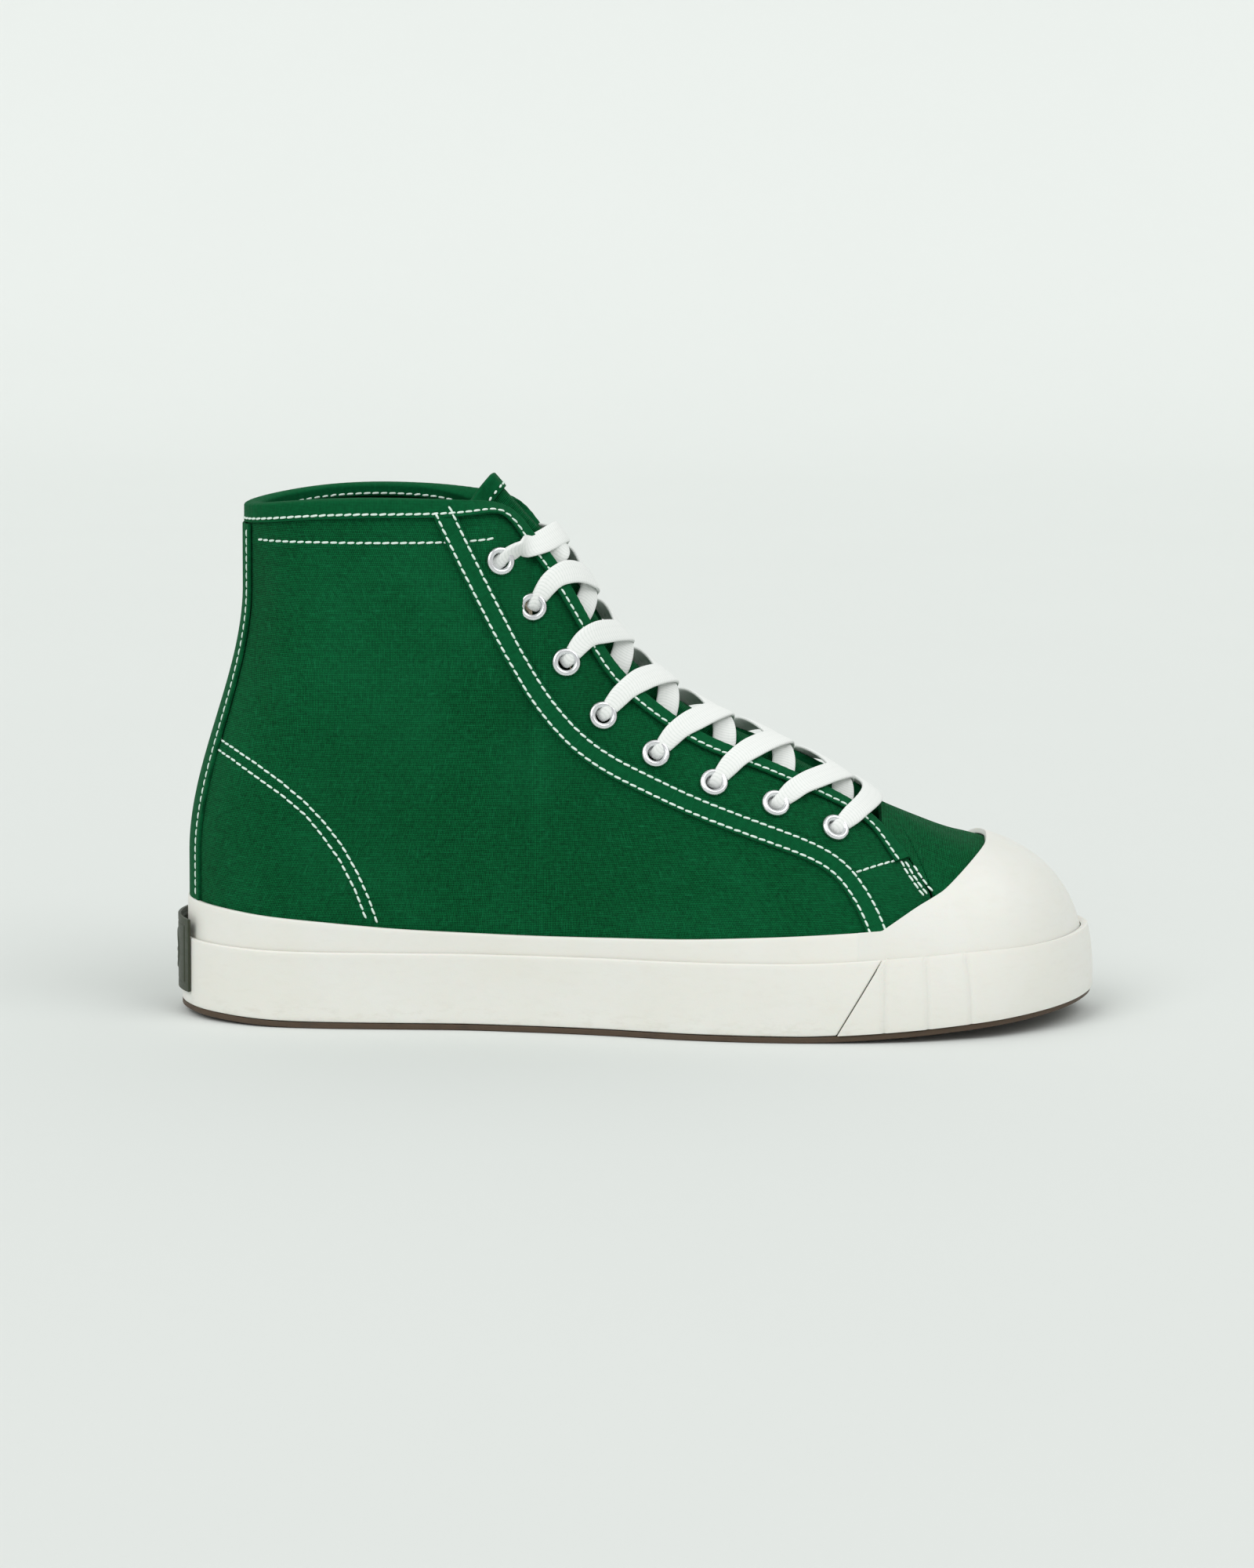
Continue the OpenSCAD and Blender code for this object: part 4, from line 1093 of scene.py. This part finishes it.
def makeTongue():
    s = np.concatenate([np.linspace(tongueSet["topX"] - upper["tongueRise"], tongueSet["topX"], 22)[:-1],
                        np.linspace(tongueSet["topX"], tongueSet["footX"], 100)])
    f = np.linspace(-1, 1, tongueSet["columns"] + 1)
    grid = tongueAt(s[:, None], f[None], 0.0)
    ripple = 0.3 * softNoise(grid, 0.05, 6.0)
    outer = tongueAt(s[:, None], f[None], ripple)
    inner = tongueAt(s[:, None], f[None], -upper["tongue"])
    tongue = layGrid("canvasTongue", outer, None, outer - inner)
    thicken(tongue, upper["tongue"], 0.5)
    dress(tongue, "canvas", "tongue_body", ["tongue"])
    fine = np.linspace(-1, 1, 91)
    top = s[0]
    o = tongueAt(top, fine, 0.0)
    n = unit(o - tongueAt(top, fine, -upper["tongue"]))
    e = unit(o - tongueAt(top + 2, fine, 0.0))
    section = foldSection(-upper["tongue"] - gap["layer"], upper["binding"], upper["binding"] * 0.7, 1.05)
    binding = sweep("tongueBinding", (o, n, e), [(t - 0.25 if t > 0 else t, a) for t, a in section])
    dress(binding, "tapeCloth", "tongue_body", ["tongue_binding"])


makeTongue()
print("tongue set")

rubberSet = {"jointX": 72, "bumperX": 66, "bumperLean": 14, "grooves": (80.4, 94.0, 107.4), "grooveDeep": 0.5,
             "grooveWide": 0.55, "sag": 0.12, "capSag": 0.16}


def bandRows(low, high, rows):
    return low + (high - low) * np.linspace(0, 1, rows + 1)[:, None]


def makeSidewalls():
    end = rubberSet["jointX"] + 1.5
    q = np.linspace(station(1, end), station(-1, end) + fullTurn, 420)
    v = bandRows(0 * q, vAtZ(q, roundLoop(bandLoop, q)), 16)
    q = np.broadcast_to(q, v.shape)
    awayFromEnd = smooth((rubberSet["jointX"] - roundLoop(outline, q)[..., 0]) / 6)
    uneven = rubberSet["sag"] * softNoise(lastAt(q, v), 0.04, 1.0) * awayFromEnd
    wall = laySkin("sidewallTall", q, v, gap["layer"] + sole["band"] + uneven)
    thicken(wall, sole["band"], 0.55)
    dress(wall, "creamRubber", replaces=["foxing_inner"])
    x = rubberSet["bumperX"] - gap["butt"] + rubberSet["bumperLean"] * np.linspace(0, 1, 13)
    first, final = station(1, x), station(-1, x) + fullTurn
    q = first[:, None] + (final - first)[:, None] * np.linspace(0, 1, 420)[None]
    rise = soleRise(roundLoop(outline, q)[..., 0])
    v = vAtZ(q, sole["outerTop"] + rise / 2) * np.linspace(0, 1, 13)[:, None]
    uneven = rubberSet["sag"] * softNoise(lastAt(q, v), 0.05, 8.0)
    band = laySkin("sidewallLow", q, v, bandOut + sole["outerBand"] + uneven)
    thicken(band, sole["outerBand"], 0.5)
    dress(band, "creamRubber", replaces=["foxing_outer"])


def makeBumper():
    x = rubberSet["bumperX"] + rubberSet["bumperLean"] * np.linspace(0, 1, 15)
    first, final = station(-1, x), station(1, x)
    q = first[:, None] + (final - first)[:, None] * np.linspace(0, 1, 700)[None]
    base = roundLoop(outline, q)
    rise = soleRise(base[..., 0])
    v = vAtZ(q, sole["outerTop"] + rise / 2) * np.linspace(0, 1, 15)[:, None]
    t = bandOut + sole["bumper"] + rubberSet["sag"] * softNoise(lastAt(q, v), 0.05, 2.5)
    for groove in rubberSet["grooves"]:
        t = t - rubberSet["grooveDeep"] * np.exp(-((base[..., 0] - groove) / rubberSet["grooveWide"]) ** 2)
    bumper = laySkin("toeBumper", q, v, t)
    thicken(bumper, sole["bumper"], 0.6)
    dress(bumper, "creamRubber", replaces=["toe_bumper"])


def makeToeCap():
    q = np.linspace(station(-1, rubberSet["jointX"]), station(1, rubberSet["jointX"]), 260)
    v = bandRows(0 * q, vCap(q), 90)
    q = np.broadcast_to(q, v.shape)
    uneven = rubberSet["capSag"] * softNoise(lastAt(q, v), 0.035, 7.0)
    nearEnd = smooth((roundLoop(outline, q)[..., 0] - rubberSet["jointX"]) / 5)
    cap = laySkin("toeCap", q, v, gap["layer"] + sole["cap"] - 0.06 * (1 - nearEnd) + uneven * nearEnd)
    thicken(cap, sole["cap"], 0.6)
    dress(cap, "capRubber", replaces=["toe_cap"])


labelSet = {"rim": 2.4, "sunk": 0.35, "raised": 0.32, "ring": 6.2, "petals": 4.8}


def labelRelief(wide, high):
    # a raised rim round a sunken field, with a plain ring and petals on it
    overSide = np.abs(wide) - (sole["labelWide"] / 2 - labelSet["rim"])
    overTop = np.abs(high) - (sole["labelHigh"] / 2 - labelSet["rim"])
    relief = -labelSet["sunk"] * smooth((0.5 - np.abs(np.maximum(overSide, overTop))) / 0.5)
    far = np.hypot(wide, high)
    relief = relief + labelSet["raised"] * smooth((0.75 - np.abs(far - labelSet["ring"])) / 0.5)
    petals = np.cos(3 * np.arctan2(high, wide)) ** 2
    petals = petals * smooth((labelSet["petals"] - far) / 1.0) * smooth((far - 0.8) / 0.8)
    return relief + labelSet["raised"] * petals


def makeLabel():
    half = sole["labelWide"] / 2 / stationStep
    a = np.linspace(-1, 1, 121)[None]
    b = np.linspace(-1, 1, 101)[:, None]
    q, z = np.broadcast_arrays(fullTurn + a * half, sole["labelTop"] - sole["labelHigh"] * (1 - b) / 2)
    relief = labelRelief(a * sole["labelWide"] / 2, b * sole["labelHigh"] / 2)
    out = bandOut + sole["outerBand"] + gap["layer"] + sole["label"] - 0.35
    label = laySkin("heelLabel", q, vAtZ(q, z), out + relief)
    thicken(label, sole["label"] - 0.3, 0.25)
    dress(label, "labelRubber", replaces=["heel_label"])


makeSidewalls()
makeBumper()
makeToeCap()
makeLabel()
print("rubber moulded")

treadSet = {"lift": 1.0, "barLong": 9.0, "barWide": 2.6, "barHigh": 1.3, "taper": 1.12, "pitch": 6.0,
            "angle": 35, "inset": 4.5}
wallOut = gap["layer"] * 2 + sole["band"] + sole["outerBand"]


def planRing(out, count=288):
    q = np.arange(count) * fullTurn / count
    a = roundLoop(outline, q)
    d = unit(roundLoop(outline, q + 0.05) - roundLoop(outline, q - 0.05))
    return a + np.stack([d[:, 1], -d[:, 0]], axis=1) * out


def platePoints(rings, levels):
    # rings from the middle line out over an edge: each row is one closed loop of points
    middle = planRing(0)
    rows = []
    for out, z in zip(rings, levels):
        ring = planRing(out) if out > -26 else middle * np.array([0.86, 0.02])
        rows.append(np.column_stack([ring, z + soleRise(ring[:, 0])]))
    rows = np.array(rows)
    return np.concatenate([rows, rows[:, :1]], axis=1)


def makePlate(name, rings, levels):
    grid = platePoints(rings, levels)
    return layGrid(name, grid, grid[..., :2].copy(), wrapped=True)


def treadBar():
    # one tread bar, bevelled: its points and faces are copied all over the sole
    bpy.ops.object.select_all(action="DESELECT")
    bpy.ops.mesh.primitive_cube_add(size=1)
    block = bpy.context.object
    for vertex in block.data.vertices:
        top = vertex.co.z > 0
        grow = treadSet["taper"] if top else 1.0
        x, y = vertex.co.x * treadSet["barLong"] * mm * grow, vertex.co.y * treadSet["barWide"] * mm * grow
        vertex.co = Vector((x, y, (treadSet["barHigh"] if top else 0) * mm))
    useModifier(block, "BEVEL", width=0.35 * mm, segments=2, limit_method="ANGLE",
                angle_limit=math.radians(40))
    corners = [tuple(vertex.co) for vertex in block.data.vertices]
    faces = [tuple(face.vertices) for face in block.data.polygons]
    bpy.data.objects.remove(block)
    return corners, faces


def insideRing(px, py, a, b):
    crosses = (a[:, 1] > py) != (b[:, 1] > py)
    span = np.where(b[:, 1] == a[:, 1], 1e-9, b[:, 1] - a[:, 1])
    at = a[:, 0] + (py - a[:, 1]) / span * (b[:, 0] - a[:, 0])
    return bool(np.sum(crosses & (px < at)) % 2)


def newPiece(name, vertices, polygons):
    mesh = bpy.data.meshes.new(name)
    mesh.from_pydata(vertices, [], polygons)
    piece = bpy.data.objects.new(name, mesh)
    bpy.context.collection.objects.link(piece)
    return piece


def makeTread():
    # herringbone: bars lean one way and the other, wherever both ends of a bar are on the sole
    corners, faces = treadBar()
    edge = planRing(wallOut - treadSet["inset"], 180)
    nextEdge = np.roll(edge, -1, axis=0)
    vertices, polygons = [], []
    for x in np.arange(-147, 148, treadSet["pitch"]):
        for j, y in enumerate(np.arange(-54, 54, treadSet["barLong"] * 0.86)):
            angle = math.radians(treadSet["angle"] if j % 2 == 0 else -treadSet["angle"])
            tip = Vector((math.cos(angle), math.sin(angle))) * treadSet["barLong"] / 2
            ends = [(x + tip.x, y + tip.y), (x - tip.x, y - tip.y)]
            if not all(insideRing(px, py, edge, nextEdge) for px, py in ends):
                continue
            turn = Matrix.Rotation(angle, 3, "Z")
            rise = float(soleRise(np.array(float(x))))
            start = len(vertices)
            for co in corners:
                p = turn @ Vector(co)
                vertices.append((p.x + x * mm, p.y + y * mm, p.z + rise * mm))
            polygons += [tuple(start + k for k in face) for face in faces]
    bars = newPiece("treadBars", vertices, polygons)
    softEdges(bars, 30)
    # the tread bars take the near-black gum colour, partly painted shade under the sole
    dress(bars, "gumBrownPaintedShade")


def makeOutsole():
    low, high, out = treadSet["lift"], sole["outsole"] - 0.2, wallOut
    rings = [-40, -20, -8, out - 2.2, out - 0.5, out, out, out - 0.25, out - 1.5, -20, -40]
    levels = [low, low, low, 0.02, 0.02, 0.35, high - 0.3, high - 0.06, high, high, high]
    # the outsole's near-black gum colour is partly painted shade under the sole
    outsole = makePlate("outsole_gumPaintedShade", rings, levels)
    softEdges(outsole, 35)
    dress(outsole, "gumBrownPaintedShade", replaces=["outsole"])


def makeSock():
    board = sole["outsole"] + sole["filler"] + gap["butt"]
    low = board + sole["board"] + gap["butt"]
    high = low + sole["liner"]
    out = -liningIn - 1.6
    rings = [-40, -20, -8, out - 0.6, out, out, out - 0.5, out - 1.6, -9, -14, -20, -40]
    under = [low, low, low, low, low + 0.5]
    levels = under + [high - sunk for sunk in (0.9, 0.2, 0, 0.15, 0.35, 0.45, 0.5)]
    sock = makePlate("sockLiner", rings, levels)
    softEdges(sock, 50)
    dress(sock, "sockCloth", replaces=["sock_liner"])


makeOutsole()
makeTread()
makeSock()
keptNodes = {"midsole_filler": "fillerFoam", "insole_board": "boardFibre",
             "aglet_lateral": "agletPlastic", "aglet_medial": "agletPlastic"}
for nodeName, finishName in keptNodes.items():
    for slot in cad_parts[nodeName].material_slots:
        slot.material = finishes[finishName]
print("sole laid")

eyeletSet = {"bore": 2.6, "barrel": 3.0, "flange": 4.65, "back": 4.0, "seat": 0.42, "crown": 1.5, "steps": 40}


def eyeletProfile():
    seat, crown, low = eyeletSet["seat"], eyeletSet["crown"], -liningIn - 0.45
    middle = (eyeletSet["bore"] + eyeletSet["flange"]) / 2
    half = (eyeletSet["flange"] - eyeletSet["bore"]) / 2
    turn = np.linspace(0, math.pi, 11)
    rolled = [(middle + half * math.cos(a), seat + (crown - seat) * math.sin(a)) for a in turn]
    barrel = [(eyeletSet["bore"], z) for z in (-0.6, -2.0, low)]
    rim, wall = eyeletSet["back"], eyeletSet["barrel"]
    back = [(eyeletSet["bore"] + 0.15, low - 0.5), (rim - 0.8, low - 0.62), (rim - 0.2, low - 0.5),
            (rim, low - 0.2), (rim - 0.4, low), (wall, low + 0.05)]
    outer = [(wall, -2.0), (wall, 0.1), (wall + 0.6, 0.35)]
    return rolled + barrel + back + outer


def makeEyelets():
    profile = eyeletProfile()
    bpy.ops.object.select_all(action="DESELECT")
    bpy.ops.mesh.primitive_circle_add(vertices=len(profile), radius=1, fill_type="NOTHING")
    pattern = bpy.context.object
    pattern.name = "eyeletPattern"
    for vertex, (r, z) in zip(pattern.data.vertices, profile):
        vertex.co = Vector((r * mm, 0, z * mm))

    def turn():
        bpy.ops.mesh.spin(steps=eyeletSet["steps"], angle=2 * math.pi, center=(0, 0, 0), axis=(0, 0, 1))
        bpy.ops.mesh.select_all(action="SELECT")
        bpy.ops.mesh.remove_doubles(threshold=2e-6)
        bpy.ops.mesh.normals_make_consistent(inside=False)

    inEditMode(pattern, turn)
    for side, hand in ((-1, "lateral"), (1, "medial")):
        copies = []
        for q, v in eyeletsAt[side]:
            copy = bpy.data.objects.new("eyelet", pattern.data.copy())
            bpy.context.collection.objects.link(copy)
            axis = Vector(normalAt(q, v))
            turned = axis.to_track_quat("Z", "Y").to_matrix().to_4x4()
            copy.data.transform(Matrix.Translation(Vector(lastAt(q, v) * mm)) @ turned)
            copies.append(copy)
        pickOnly(copies[0])
        for copy in copies:
            copy.select_set(True)
        bpy.ops.object.join()
        ring = bpy.context.object
        ring.name = "eyeletRings_" + hand
        softEdges(ring, 50)
        dress(ring, "eyeletMetal", replaces=["eyelets_" + hand])
    bpy.data.objects.remove(pattern)


makeEyelets()
print("eyelets set")

stitchRuns = {"shoe": [], "tongue_body": []}


def runAlong(points, normals, lift, body="shoe"):
    stitchRuns[body].append((points + normals * lift, normals))


def runOnPlaces(places, lift, body="shoe"):
    runAlong(lastAt(places[:, 0], places[:, 1]), normalAt(places[:, 0], places[:, 1]), lift, body)


def stitchPattern():
    bpy.ops.object.select_all(action="DESELECT")
    bpy.ops.mesh.primitive_uv_sphere_add(segments=8, ring_count=6, radius=1)
    seed = bpy.context.object
    points = np.array([tuple(vertex.co) for vertex in seed.data.vertices])
    faces = [tuple(face.vertices) for face in seed.data.polygons]
    bpy.data.objects.remove(seed)
    along = np.sign(points[:, 2]) * np.abs(points[:, 2]) ** 0.7      # blunt capsule along the run
    thick = np.maximum(0, 1 - along ** 4) ** 0.5
    radial = points[:, :2] / np.maximum(1e-6, np.linalg.norm(points[:, :2], axis=1, keepdims=True))
    radial = radial * (np.abs(points[:, 2:3]) < 0.999)
    across = radial[:, 0] * thick * stitchSet["radius"]
    high = radial[:, 1] * thick * stitchSet["radius"] * 0.85      # pressed a little flat
    stitch = np.column_stack([along * stitchSet["long"] / 2, across, high])
    stitch[:, 2] -= 0.22 * np.abs(along) ** 3                      # the ends dive into the cloth
    return stitch, faces


def between(s, arc, rows):
    return np.array([np.interp(s, arc, rows[:, k]) for k in range(3)])


def sewRuns(name, runs, body):
    stitch, faces = stitchPattern()
    vertices, polygons = [], []
    total = 0
    for points, normals in runs:
        arc = arcLength(points)
        count = max(1, int(round(arc[-1] / stitchSet["pitch"])))
        for s in (np.arange(count) + 0.5) / count * arc[-1]:
            n = unit(between(s, arc, normals))
            ahead = between(s + 0.6, arc, points) - between(s - 0.6, arc, points)
            t = unit(ahead - n * (ahead @ n))
            side = np.cross(n, t)
            angle = math.radians(stitchSet["slant"] + rng.normal(0, 2.0))
            c, d = math.cos(angle), math.sin(angle)
            t, side = t * c + side * d, side * c - t * d
            size = 1 + rng.normal(0, 0.03)
            at = between(s, arc, points) + n * (stitchSet["radius"] * 0.55 - stitchSet["sunk"])
            vertices.append(at + stitch[:, 0:1] * size * t + stitch[:, 1:2] * side + stitch[:, 2:3] * n)
            start = total * len(stitch)
            polygons += [tuple(start + k for k in face) for face in faces]
            total += 1
    thread = newPiece(name, (np.concatenate(vertices) * mm).tolist(), polygons)
    softEdges(thread, 80)
    dress(thread, "stitchThread", body)
    print(name, total, "stitches")


tapeTop = gap["trim"] + upper["tape"]
seamInset = 1.2                               # from a tape's edge to its row of stitches


def sewPanels():
    for side in (-1, 1):
        for line in seams.values():
            places = sidePlaces(line, side)
            lift = canvasRelief(places[:, 0], places[:, 1], side) + 0.05
            runOnPlaces(places, lift[:, None])
        points, normals, across = tapeFrames(side)
        for e in (-2.5, 2.5):
            runAlong(points + across * e, normals, tapeTop)


def sewEdge():
    points, normals, across = easedFrames(edgePlaces(), 1)
    runAlong(points - across * (upper["binding"] - seamInset), normals, tapeTop)


def sewInsideCollar():
    points, normals, across = framesAlong(collarPlaces(), 1)
    runAlong(points - across * 2.4, -normals, upper["tape"] - bindingDepth)


def sewHeelStrip():
    half = upper["stripWide"] / 2 / stationStep * heelSet["seam"]
    for edge in (-half, half):
        q = np.full(300, fullTurn + edge)
        v = np.linspace(vAtZ(q[0], 39.5), 0.955, 300)
        runOnPlaces(evenly(np.stack([q, v], axis=1), fineStep), gap["layer"] + upper["tape"] + 0.2)


def sewTongueTop():
    s = tongueSet["topX"] - upper["tongueRise"]
    f = np.linspace(-0.97, 0.97, 80)
    o = tongueAt(s, f, 0.0)
    n = unit(o - tongueAt(s, f, -upper["tongue"]))
    e = unit(o - tongueAt(s + 2, f, 0.0))
    runAlong(o - e * (upper["binding"] - seamInset), n, tapeTop - 0.25, "tongue_body")


sewPanels()
sewEdge()
sewInsideCollar()
sewHeelStrip()
sewTongueTop()
sewRuns("stitches_upper", stitchRuns["shoe"], "shoe")
sewRuns("stitches_tongue", stitchRuns["tongue_body"], "tongue_body")
print("stitching done")

studio = {"floor": (0.735, 0.765, 0.745), "world": (0.975, 0.975, 0.965), "worldStrength": 0.66,
          "deep": 3.0, "high": 5, "sweep": 1.2}


def makeFloor():
    bpy.ops.object.select_all(action="DESELECT")
    bpy.ops.mesh.primitive_plane_add(size=12, location=(0, 0, 0))
    floor = bpy.context.object
    floor.name = "studioFloor"
    for vertex in floor.data.vertices:
        if vertex.co.y > 0:
            vertex.co.y = studio["deep"]

    def edgesOnly():
        bpy.ops.mesh.select_all(action="DESELECT")
        bpy.ops.mesh.select_mode(type="EDGE")

    inEditMode(floor, edgesOnly)
    for edge in floor.data.edges:
        edge.select = all(floor.data.vertices[i].co.y > studio["deep"] - 0.01 for i in edge.vertices)
    pickOnly(floor)
    bpy.ops.object.mode_set(mode="EDIT")
    bpy.ops.mesh.extrude_region_move(TRANSFORM_OT_translate={"value": (0, 0, studio["high"])})
    bpy.ops.mesh.select_mode(type="VERT")
    bpy.ops.object.mode_set(mode="OBJECT")
    useModifier(floor, "BEVEL", width=studio["sweep"], segments=24, limit_method="ANGLE",
                angle_limit=math.radians(60))
    softEdges(floor, 60)
    finish = Finish("studioPaper", Roughness=0.85, Specular_IOR_Level=0.1)
    grain = finish.noise(finish.objectPlace(), 6, 3)
    finish.colour(finish.blend(grain, studio["floor"], tuple(c * 0.985 for c in studio["floor"])))
    floor.data.materials.append(finish.material)


def addSun(name, azimuth, elevation, power, spread):
    # azimuth is measured from the front, plus to the right
    a, e = math.radians(azimuth), math.radians(elevation)
    away = Vector((math.sin(a) * math.cos(e), -math.cos(a) * math.cos(e), math.sin(e)))
    bpy.ops.object.light_add(type="SUN", location=away * 3)
    light = bpy.context.object
    light.name = name
    light.data.energy = power
    light.data.angle = math.radians(spread)
    light.rotation_euler = (-away).to_track_quat("-Z", "Y").to_euler()


def lightStudio():
    world = bpy.data.worlds.new("studioAir")
    bpy.context.scene.world = world
    world.use_nodes = True
    back = world.node_tree.nodes["Background"]
    back.inputs["Color"].default_value = (*studio["world"], 1)
    back.inputs["Strength"].default_value = studio["worldStrength"]
    addSun("keyLight", -38, 42, 1.0, 35)
    addSun("fillLight", 55, 52, 0.75, 40)


makeFloor()
lightStudio()
print("studio lit")
